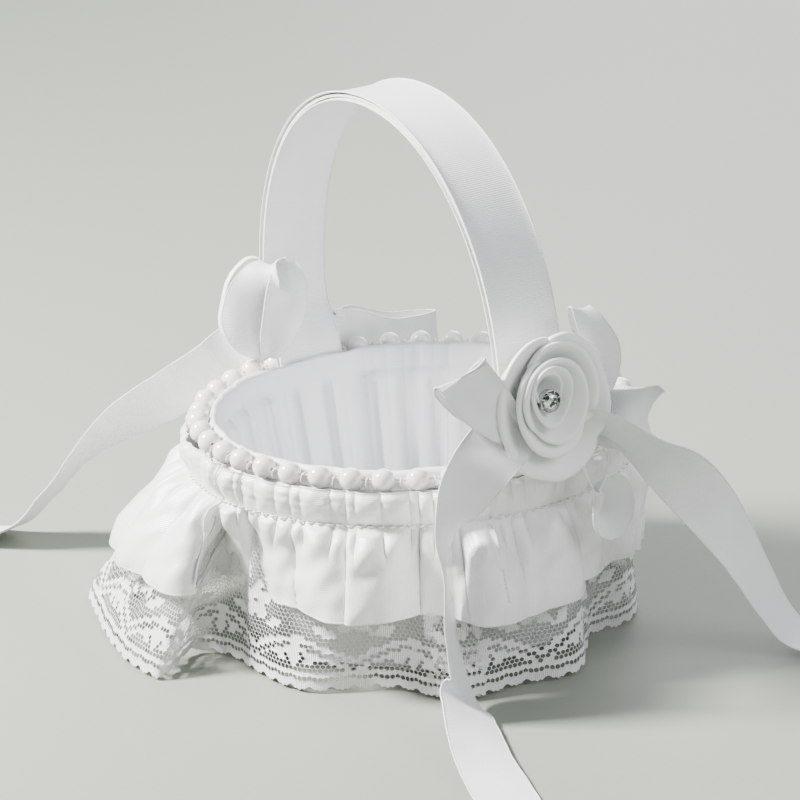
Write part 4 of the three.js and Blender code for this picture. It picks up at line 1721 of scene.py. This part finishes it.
@dataclass
class Rosette:
    """A ribbon rose: eight folded petals round a stone in a claw cup, on a felt disc."""

    wardrobe: Wardrobe
    prefix: str
    side: int
    prongs: int = 8
    petal_thickness: float = 0.55

    def __post_init__(self) -> None:
        """Take the rosette's places from the frame."""
        low, high = node_box(f"rosette_{self.prefix}_outer_petals")
        self.centre = (low + high) / 2
        self.scale = (high[2] - low[2]) / 2 / ROSE_RADIUS
        self.back = low[0] if self.side > 0 else -high[0]
        self.front = max(abs(corner[0]) for corner in node_box(f"rosette_{self.prefix}_inner_petals"))
        aside = np.array([0, -2.4 * self.side, 1.6]) * self.scale
        self.stone = middle(f"rosette_{self.prefix}_stone") + aside

    def place(self, right: Array, up: Array, depth: Array) -> Array:
        """Points from the rosette's own right, up and depth.

        Args:
            right: Distance to the right of its middle, seen from its face.
            up: Distance above its middle.
            depth: Distance from the basket's middle plane.

        Returns:
            Points in the frame.
        """
        return np.stack(np.broadcast_arrays(self.side * depth, self.centre[1] + self.side * right,
                                            self.centre[2] + up), axis=-1)

    def petal(self, shape: Petal, seed: int) -> Array:
        """One petal.

        Args:
            shape: Its sizes.
            seed: Seed of its unevenness.

        Returns:
            Points in rows from its root to its rolled lip and columns round the rose.
        """
        columns = max(int(shape.span / 2.6), 40)
        share = np.linspace(0, 1, columns)
        ends = np.clip(np.minimum(share, 1 - share) / 0.2, 0, 1)
        ends = 1 - (1 - ends) ** 2
        waves = np.random.default_rng(seed).uniform(0, 2 * math.pi, 3)
        uneven = sum(np.sin((k + 2) * share * 5 + waves[k]) for k in range(3)) / 2.2
        grid = []
        for out, deep in spline(np.array(PETAL_PROFILE), 26):
            angle = np.radians(shape.begin + shape.span * share + shape.lean * (1 - out))
            reach = out * (1 - shape.tuck * (1 - ends) * step(0.3, 1.0, np.array(out)) + 0.018 * uneven)
            right = shape.centre[0] + shape.wide * reach * np.cos(angle) * (1 + shape.egg * np.sin(angle))
            up = shape.centre[1] + shape.tall * reach * np.sin(angle)
            lip = self.front - shape.sink - 2.2 * shape.tuck / 0.15 * (1 - ends) + 0.35 * uneven
            depth = np.maximum(lip + deep, self.back + 0.3)
            grid.append(self.place(right * self.scale, up * self.scale, depth))
        return np.stack(grid)

    def fan(self, shape: Petal) -> tuple[float, float]:
        """Depth and lip length of the fan that a petal is cut as, in millimetres.

        Args:
            shape: The petal.

        Returns:
            The two lengths.
        """
        radius = (shape.wide + shape.tall) / 2 * self.scale
        steps = np.diff(np.array(PETAL_PROFILE), axis=0) * (radius, 1)
        return float(np.linalg.norm(steps, axis=1).sum()), math.radians(shape.span) * radius

    def wind(self) -> None:
        """Make the three groups of petals."""
        for name, shapes in ROSE.items():
            cloth = Cloth()
            for number, shape in enumerate(shapes):
                grid = self.petal(shape, 80 + number + len(name))
                cloth.sheet(grid if self.side > 0 else grid[:, ::-1], self.petal_thickness)
            node = f"rosette_{self.prefix}_{name}"
            piece = dress(cloth.piece(f"rose_{self.prefix}_{name}", self.wardrobe.petal), Slot.PETAL, node)
            fans = np.array([self.fan(shape) for shape in shapes])
            fan_area = float((fans[:, 0] * fans[:, 1]).sum()) * (1 + PETAL_PROFILE[0][0]) / 2
            cut_sheet(piece, (float(fans[:, 0].max()), float(fans[:, 1].sum())),
                      fan_area)

    def claw(self) -> None:
        """The cup that holds the stone, with eight prongs bent over it."""
        node = f"rosette_{self.prefix}_claw"
        low, high = node_box(node)
        radius = (high[2] - low[2]) / 2
        base, lip = (low[0], high[0]) if self.side > 0 else (-high[0], -low[0])
        spin = np.linspace(0, 2 * np.pi, 33)[:-1]
        up = self.stone[2] - self.centre[2]
        right = self.side * (self.stone[1] - self.centre[1])
        cloth = Cloth()
        section = [(0.4, base + 0.2), (radius - 0.6, base + 0.2), (radius - 0.25, base + 0.6),
                   (radius - 0.25, lip - 0.6), (radius - 0.05, lip)]
        rows = [self.place(right + out * np.cos(spin), up + out * np.sin(spin), np.full(len(spin), deep))
                for out, deep in section]
        cloth.sheet(np.stack(rows)[:, ::self.side], 0.3, closed=True)
        for number in range(self.prongs):
            turn = (number + 0.5) / self.prongs * 2 * math.pi
            path = [(radius - 0.1, lip - 1.4), (radius, lip - 0.2), (radius - 0.35, lip + 0.35),
                    (radius - 1.1, lip + 0.5)]
            points = np.array([self.place(np.array(right + out * math.cos(turn)),
                                          np.array(up + out * math.sin(turn)), np.array(deep))
                               for out, deep in path])
            cloth.tube(spline(points, 9), np.linspace(0.3, 0.2, 9), 6)
        dress(cloth.piece(f"rose_{self.prefix}_claw", self.wardrobe.claw), Slot.CLAW, node)

    def crystal(self) -> None:
        """The stone, cut with a table, eight kites, eight stars and a deep pavilion."""
        node = f"rosette_{self.prefix}_stone"
        low, high = node_box(node)
        base, top = (low[0], high[0]) if self.side > 0 else (-high[0], -low[0])
        radius = (high[2] - low[2]) / 2
        girdle = top - 1.4
        rings = [(radius * 0.5, top, 0.0), (radius * 0.78, top - 0.55, 0.5), (radius, girdle, 0.0),
                 (radius, girdle - 0.3, 0.0), (radius * 0.45, (base + girdle) / 2, 0.5)]
        up = self.stone[2] - self.centre[2]
        right = self.side * (self.stone[1] - self.centre[1])
        shape = bmesh.new()
        for out, deep, shift in rings:
            for number in range(self.prongs):
                turn = (number + shift) / self.prongs * 2 * math.pi
                point = self.place(np.array(right + out * math.cos(turn)),
                                   np.array(up + out * math.sin(turn)), np.array(deep))
                shape.verts.new(point * MM)
        shape.verts.new(self.place(np.array(right), np.array(up), np.array(base)) * MM)
        bmesh.ops.convex_hull(shape, input=shape.verts)
        mesh = bpy.data.meshes.new(f"rose_{self.prefix}_stone")
        shape.to_mesh(mesh)
        shape.free()
        mesh.materials.append(self.wardrobe.crystal)
        stone = bpy.data.objects.new(mesh.name, mesh)
        bpy.context.scene.collection.objects.link(stone)
        dress(stone, Slot.CRYSTAL, node)

    def dress(self) -> None:
        """Make the whole rosette."""
        refinish(f"rosette_{self.prefix}_felt", self.wardrobe.felt)
        self.wind()
        self.claw()
        self.crystal()


# ------------------------------------------------------------------ bows and tails
@dataclass
class Bow:
    """The loops, knot and tails at one foot of the handle."""

    wardrobe: Wardrobe
    foot: str
    knot_cut: Cut = (14, 33)

    def knot(self) -> None:
        """A ribbon drawn tight round the loops, pleated along its turn."""
        node = f"bow_{self.foot}_knot"
        low, high = node_box(node)
        centre, half = (low + high) / 2, (high - low) / 2
        turns = np.linspace(0, 1, 97)[:-1]
        angle = turns * 2 * np.pi
        rows = []
        for share in np.linspace(-1, 1, 25):
            waist = 0.82 + 0.18 * share**2
            pleat = 0.35 * math.cos(share * math.pi * 4)
            x = np.sign(np.cos(angle)) * np.abs(np.cos(angle)) ** 0.7 * (half[0] * waist + pleat)
            y = np.sign(np.sin(angle)) * np.abs(np.sin(angle)) ** 0.7 * (half[1] * waist + pleat)
            level = np.full(len(turns), centre[2] + share * half[2])
            rows.append(np.stack([centre[0] + x, centre[1] + y, level], -1))
        cloth = Cloth()
        cloth.sheet(np.stack(rows), 0.4, closed=True)
        piece = dress(cloth.piece(f"knot_{self.foot}", self.wardrobe.ribbon), Slot.SATIN, node)
        cut_sheet(piece, self.knot_cut)

    def add(self, name: str, node: str, held: Held, *ribbons: Ribbon, on: Optional[str] = None) -> None:
        """Make one loop or tail of the bow.

        Args:
            name: The piece's name.
            node: The frame node it stands for.
            held: How it is held; not used.
            ribbons: Its lengths of ribbon.
            on: What it rests on, where that isn't the bow's own knot; not used.
        """
        cloth = Cloth()
        for ribbon in ribbons:
            ribbon.sew(cloth)
        piece = dress(cloth.piece(name, self.wardrobe.ribbon, self.wardrobe.thread), Slot.SATIN, node)
        length = sum(ribbon.course()[1] for ribbon in ribbons)
        cut_sheet(piece, (ribbons[0].flat_width, length))


@dataclass
class NearBow(Bow):
    """The bow at the near foot: four loops and two tails."""

    foot: str = "near"
    disc_middle: Vec = (87.5, 20.5, 59.0)
    disc_half_width: float = 5.8
    disc_half_height: float = 8.2
    disc_holds: int = 10

    def left_loop(self) -> None:
        """The loop to the left, opened to a three-cornered mouth."""
        left = Ribbon((
            Hold((85, -9, 89), (0.2, 0.3, 1), 9), Hold((89, -18, 96), (0, 0.45, 0.9), 14),
            Hold((91, -27, 105), (0, 0.75, 0.65), 18), Hold((91.5, -35.5, 115.5), (-0.1, 0.94, 0.34), 19.5),
            Hold((89.5, -36, 117), (-0.1, 0.94, 0.34), 19.5), Hold((86.5, -34, 114), (0.1, 0.94, 0.3), 19.5),
            Hold((83.5, -26, 105), (0.2, 0.75, 0.6), 18), Hold((81, -16, 96), (0.2, 0.5, 0.9), 14),
            Hold((80, -8, 92), (0.2, 0.3, 1), 9),
        ), cup=-1.6, wrinkle=0.8, seed=61)
        self.add("loop_near_left", "bow_near_left_loop", Held.FOLDED, left)

    def right_loop(self) -> None:
        """The puffed loop to the right, folded back on itself."""
        right = Ribbon((
            Hold((82, 7, 90), (0, 0.1, 1), 9), Hold((87, 17, 89.5), (0, -0.1, 1), 18),
            Hold((92, 28, 88), (0.1, -0.1, 1), 23), Hold((92, 37, 86), (0.15, 0, 1), 23),
            Hold((88, 44, 83.5), (0.2, 0, 1), 19), Hold((82, 46, 83), (0.2, 0, 1), 17),
            Hold((76, 42, 83), (0.2, 0, 1), 19), Hold((73, 28, 86), (0, 0, 1), 18),
            Hold((77, 7, 89), (0, 0.1, 1), 9),
        ), cup=5.0, wrinkle=1.8, seed=62, flat_width=25)
        self.add("loop_near_right", "bow_near_right_loop", Held.FOLDED, right)

    def upper_loop(self) -> None:
        """The narrow loop that stands up and curls over at its tip."""
        upper = Ribbon((
            Hold((84.5, 18, 94), (0.3, 0.9, 0.1), 9), Hold((86, 21.5, 103), (0.35, 0.93, 0), 11.5),
            Hold((86.5, 22, 112), (0.35, 0.93, -0.1), 12.5), Hold((85.5, 19.5, 120), (0.35, 0.85, -0.3), 10),
            Hold((83.5, 16.8, 126), (0.3, 0.8, -0.4), 7), Hold((81.5, 16.5, 127), (0.3, 0.85, -0.3), 6.5),
            Hold((80, 18, 123), (0.3, 0.9, -0.1), 7), Hold((79.5, 22, 112), (0.3, 0.93, 0), 9),
            Hold((80, 19, 96), (0.3, 0.9, 0.1), 8),
        ), wrinkle=0.3, seed=63, flat_width=13, pleats=0)
        self.add("loop_near_upper", "bow_near_upper_loop", Held.FOLDED, upper)

    def lower_loop(self) -> None:
        """The small loop under the rose, wound to an oval disc that lies on the ruffle."""
        x, y, z = self.disc_middle
        ring = [math.radians(140 - 320 * number / (self.disc_holds - 1)) for number in range(self.disc_holds)]
        disc = [Hold((x + number * 0.12, y + self.disc_half_width * math.cos(turn),
                      z + self.disc_half_height * math.sin(turn)),
                     (0.8, 0.5 * math.cos(turn), 0.62 * math.sin(turn)), 11)
                for number, turn in enumerate(ring)]
        lower = Ribbon((Hold((85.5, 13, 76), (0.7, -0.6, 0.3), 9), *disc), wrinkle=0.5, seed=64,
                       flat_width=14, pleats=0)
        self.add("loop_near_lower", "bow_near_lower_loop", Held.FOLDED, lower, on="ruffle_satin")

    def front_tail(self) -> None:
        """The tail that falls in front of the skirts and runs out over the table."""
        front = Ribbon((
            Hold((85, -8, 93), (0.5, 0.65, -0.5), 14), Hold((86, -18, 89), (0.5, 0.7, -0.55)),
            Hold((87, -27, 83), (0.45, 0.75, -0.5)), Hold((86, -34, 74), (0.1, 0.8, -0.35)),
            Hold((85, -41, 62), (-0.5, 0.7, -0.2)), Hold((86.5, -43, 48), (-0.78, 0.53, -0.3)),
            Hold((88, -43.5, 34), (-0.72, 0.62, -0.31)), Hold((89.5, -43, 20), (-0.67, 0.67, -0.3)),
            Hold((94, -43.5, 9.5), (-0.6, 0.75, -0.29)), Hold((107, -49, 6.5), (-0.4, 0.88, -0.26)),
            Hold((131, -60, 3.4), (-0.05, 0.98, -0.14)), Hold((152, -67.5, 1.4), (0.28, 0.95, -0.03)),
            Hold((168, -73, 0.8), (0.38, 0.92, 0)), Hold((182, -78, 0.8), (0.38, 0.92, 0)),
        ), wrinkle=0.2, seed=65, cut=12)
        self.add("tail_near_front_ribbon", "tail_near_front", Held.HUNG, front)

    def side_tail(self) -> None:
        """The tail that falls clear of the skirts to the right."""
        side = Ribbon((
            Hold((83, 8, 91), (0.6, 0.2, 0.7), 12), Hold((91, 20, 87.5), (0.8, 0.05, 0.5), 17),
            Hold((97, 31, 78), (0.8, 0.15, 0.5), 19), Hold((99.5, 42, 68), (0.45, 0.45, 0.75)),
            Hold((101, 52, 56), (0.1, 0.65, 0.72)), Hold((104, 62, 40), (-0.3, 0.75, 0.5)),
            Hold((107, 70, 23), (-0.5, 0.75, 0.35)), Hold((111, 77, 9), (-0.62, 0.74, 0.2)),
            Hold((117, 85, 1.8), (-0.75, 0.66, 0.05)), Hold((126, 93, 0.8), (-0.8, 0.6, 0)),
            Hold((132, 103, 0.8), (-0.88, 0.48, 0)),
        ), wrinkle=0.25, seed=66, cut=12)
        self.add("tail_near_side_ribbon", "tail_near_side", Held.HUNG, side)

    def dress(self) -> None:
        """Make the knot, the loops and the tails."""
        self.knot()
        self.left_loop()
        self.right_loop()
        self.upper_loop()
        self.lower_loop()
        self.front_tail()
        self.side_tail()


@dataclass
class FarBow(Bow):
    """The bow at the far foot: a bud, one loop and two tails."""

    foot: str = "far"

    def bud(self) -> None:
        """The loop to the left, two lengths of ribbon closed like a bud."""
        outer = Ribbon((
            Hold((-68, -17, 79), (0.4, 0.9, 0.1), 6), Hold((-69, -23.5, 87), (0.45, 0.9, 0.1), 13),
            Hold((-69.5, -24.5, 95.5), (0.45, 0.9, 0.15), 16),
            Hold((-68.5, -20.5, 104.5), (0.4, 0.85, 0.3), 16),
            Hold((-66.5, -14, 111), (0.4, 0.7, 0.5), 12), Hold((-65, -8.5, 113.5), (0.4, 0.5, 0.7), 6),
        ), cup=1.6, wrinkle=0.9, seed=71, flat_width=15, pleats=0)
        inner = Ribbon((
            Hold((-65.5, -17.5, 79.5), (0.35, 0.9, -0.1), 6), Hold((-62.5, -16, 87), (0.35, 0.93, -0.15), 12),
            Hold((-61, -13.5, 95), (0.35, 0.93, -0.15), 15), Hold((-61, -11.5, 103), (0.35, 0.93, -0.1), 15),
            Hold((-62, -10.5, 109.5), (0.35, 0.93, 0), 12), Hold((-64.5, -9.5, 113.5), (0.4, 0.9, 0), 7),
        ), cup=1.2, wrinkle=0.9, seed=75, flat_width=15, pleats=0)
        self.add("loop_far_left", "bow_far_left_loop", Held.FOLDED, outer, inner)

    def right_loop(self) -> None:
        """The loop to the right, lying along the pearls."""
        right = Ribbon((
            Hold((-74, 14, 84), (0, 0.2, 1), 9), Hold((-80, 24, 78.5), (0, 0.1, 1), 16),
            Hold((-86, 42, 69.5), (0, 0.1, 1), 18), Hold((-87, 58, 67), (0, 0.05, 1), 18),
            Hold((-84, 64, 66.5), (0, 0, 1), 18), Hold((-81, 58, 67), (0, 0, 1), 18),
            Hold((-80.5, 42, 69), (0, 0, 1), 17), Hold((-78, 24, 78), (0, 0.1, 1), 15),
            Hold((-73, 13, 85), (0, 0.2, 1), 8),
        ), cup=0.5, wrinkle=0.4, seed=72, flat_width=18)
        self.add("loop_far_right", "bow_far_right_loop", Held.FOLDED, right)

    def side_tail(self) -> None:
        """The tail that falls clear of the skirts to the left."""
        side = Ribbon((
            Hold((-80, -10, 84), (0.1, 0.3, 1), 12), Hold((-84, -18, 80), (-0.2, 0.2, 1), 17),
            Hold((-90, -26, 72), (0.35, 0.1, 1)), Hold((-103, -38, 60.5), (0.5, 0.1, 0.9)),
            Hold((-118, -51, 48), (0.6, 0, 0.85)), Hold((-130, -62, 34), (0.7, -0.1, 0.7)),
            Hold((-140, -71, 19), (0.75, -0.3, 0.6)), Hold((-149, -79, 7), (0.8, -0.5, 0.4)),
            Hold((-160, -87, 1.6), (0.75, -0.65, 0.1)), Hold((-172, -96, 0.8), (0.65, -0.76, 0)),
            Hold((-182, -104, 0.8), (0.65, -0.76, 0)),
        ), wrinkle=0.25, seed=73, cut=12)
        self.add("tail_far_side_ribbon", "tail_far_side", Held.HUNG, side)

    def back_tail(self) -> None:
        """The tail that falls behind the basket."""
        back = Ribbon((
            Hold((-80, 10, 84), (0, 0.3, 1), 12), Hold((-85, 19, 79), (-0.2, -0.1, 1), 17),
            Hold((-91, 32, 67), (-0.6, 0.1, 0.8)), Hold((-99, 47, 48), (-0.8, 0.1, 0.6)),
            Hold((-107, 62, 28), (-0.85, 0, 0.5)), Hold((-114, 77, 11), (-0.9, -0.1, 0.4)),
            Hold((-121, 92, 2), (-0.9, -0.4, 0.1)), Hold((-130, 108, 0.8), (-0.87, -0.48, 0)),
            Hold((-136, 119, 0.8), (-0.87, -0.48, 0)),
        ), wrinkle=0.25, seed=74, cut=12)
        self.add("tail_far_back_ribbon", "tail_far_back", Held.HUNG, back)

    def dress(self) -> None:
        """Make the knot, the bud, the loop and the tails."""
        self.knot()
        self.bud()
        self.right_loop()
        self.side_tail()
        self.back_tail()


# ------------------------------------------------------------------ studio
@dataclass
class Studio:
    """A plain pale floor, soft lights and the camera."""

    azimuth: float = 58.44
    elevation: float = 18.71
    roll: float = 0.047
    distance: float = 1.6935
    lens: float = 219.8
    aim_left: float = 3.78
    aim_up: float = 2.67
    floor_size: float = 3.0

    def axes(self) -> tuple[Vector, Vector, Vector]:
        """The camera's right, up and backward directions.

        Returns:
            Three unit vectors.
        """
        turn, lift = math.radians(self.azimuth), math.radians(self.elevation)
        back = Vector((math.sin(turn) * math.cos(lift), -math.cos(turn) * math.cos(lift), math.sin(lift)))
        right = (-back).cross(Vector((0, 0, 1))).normalized()
        rise = right.cross(-back)
        cos, sin = math.cos(self.roll), math.sin(self.roll)
        return right * cos - rise * sin, right * sin + rise * cos, back

    def camera(self) -> None:
        """Put the camera on the pearl rim's middle."""
        right, rise, back = self.axes()
        rim = Vector((0, 0, float(middle("pearl_strand")[2]) * MM))
        at = rim - right * self.aim_left * MM + rise * self.aim_up * MM + back * self.distance
        data = bpy.data.cameras.new("camera")
        data.lens = self.lens
        data.clip_start, data.clip_end = 0.05, 30
        camera = bpy.data.objects.new("camera", data)
        turn = Matrix((right, rise, back)).transposed().to_4x4()
        camera.matrix_world = Matrix.Translation(at) @ turn
        bpy.context.scene.collection.objects.link(camera)
        bpy.context.scene.camera = camera

    def light(self, name: str, way: Vec, distance: float, size: float, power: float, colour: Colour) -> None:
        """Add one soft light aimed at the basket.

        Args:
            name: The light's name.
            way: Shares of the camera's right, up and backward directions.
            distance: Metres from the basket.
            size: Side of the square light in metres.
            power: Watts.
            colour: Its colour.
        """
        right, rise, back = self.axes()
        heading = (right * way[0] + rise * way[1] + back * way[2]).normalized()
        data = bpy.data.lights.new(name, "AREA")
        data.size, data.energy, data.color = size, power, colour
        lamp = bpy.data.objects.new(name, data)
        lamp.location = Vector((0, 0, 0.08)) + heading * distance
        lamp.rotation_mode = "QUATERNION"
        lamp.rotation_quaternion = (-heading).to_track_quat("-Z", "Y")
        bpy.context.scene.collection.objects.link(lamp)

    def floor(self) -> None:
        """A wide plain floor with a faint grain."""
        shape = bmesh.new()
        bmesh.ops.create_circle(shape, cap_ends=True, segments=96, radius=self.floor_size)
        mesh = bpy.data.meshes.new("floor")
        shape.to_mesh(mesh)
        shape.free()
        shader = Shader("studio_floor", (0.25, 0.27, 0.23), 0.65)
        grain = shader.noise(shader.solid(), 0.4, 4)
        shader.tint(grain, (0.245, 0.265, 0.225), (0.255, 0.275, 0.235))
        mesh.materials.append(shader.material)
        floor = bpy.data.objects.new("floor", mesh)
        floor.location.z = -0.0003
        bpy.context.scene.collection.objects.link(floor)

    def set(self) -> None:
        """Build the whole studio."""
        self.floor()
        self.camera()
        world = bpy.data.worlds.new("studio")
        world.use_nodes = True
        world.node_tree.nodes["Background"].inputs[0].default_value = (0.93, 0.96, 1.0, 1)
        world.node_tree.nodes["Background"].inputs[1].default_value = 0.5
        bpy.context.scene.world = world
        self.light("key", (-0.95, 0.75, 0.25), 1.3, 0.3, 105, (1.0, 0.985, 0.96))
        self.light("fill", (1.0, 0.5, 0.7), 1.5, 0.8, 12, (0.95, 0.98, 1.0))
        self.light("rim", (0.3, 0.8, -1.0), 1.4, 0.8, 14, (1.0, 1.0, 1.0))


def main() -> None:
    """Build the studio and every sub-assembly in order; the sizes are logged as each piece is made."""
    logging.basicConfig(level=logging.INFO, format="%(name)s: %(message)s")
    wardrobe = Wardrobe()
    Studio().set()
    Body(wardrobe).dress()
    Pearls(wardrobe).dress()
    Ruffle(wardrobe).dress()
    Flounce(wardrobe).dress()
    Strap(wardrobe).dress()
    NearBow(wardrobe).dress()
    FarBow(wardrobe).dress()
    Rosette(wardrobe, "near", 1).dress()
    Rosette(wardrobe, "far", -1).dress()


if __name__ == "__main__":
    main()
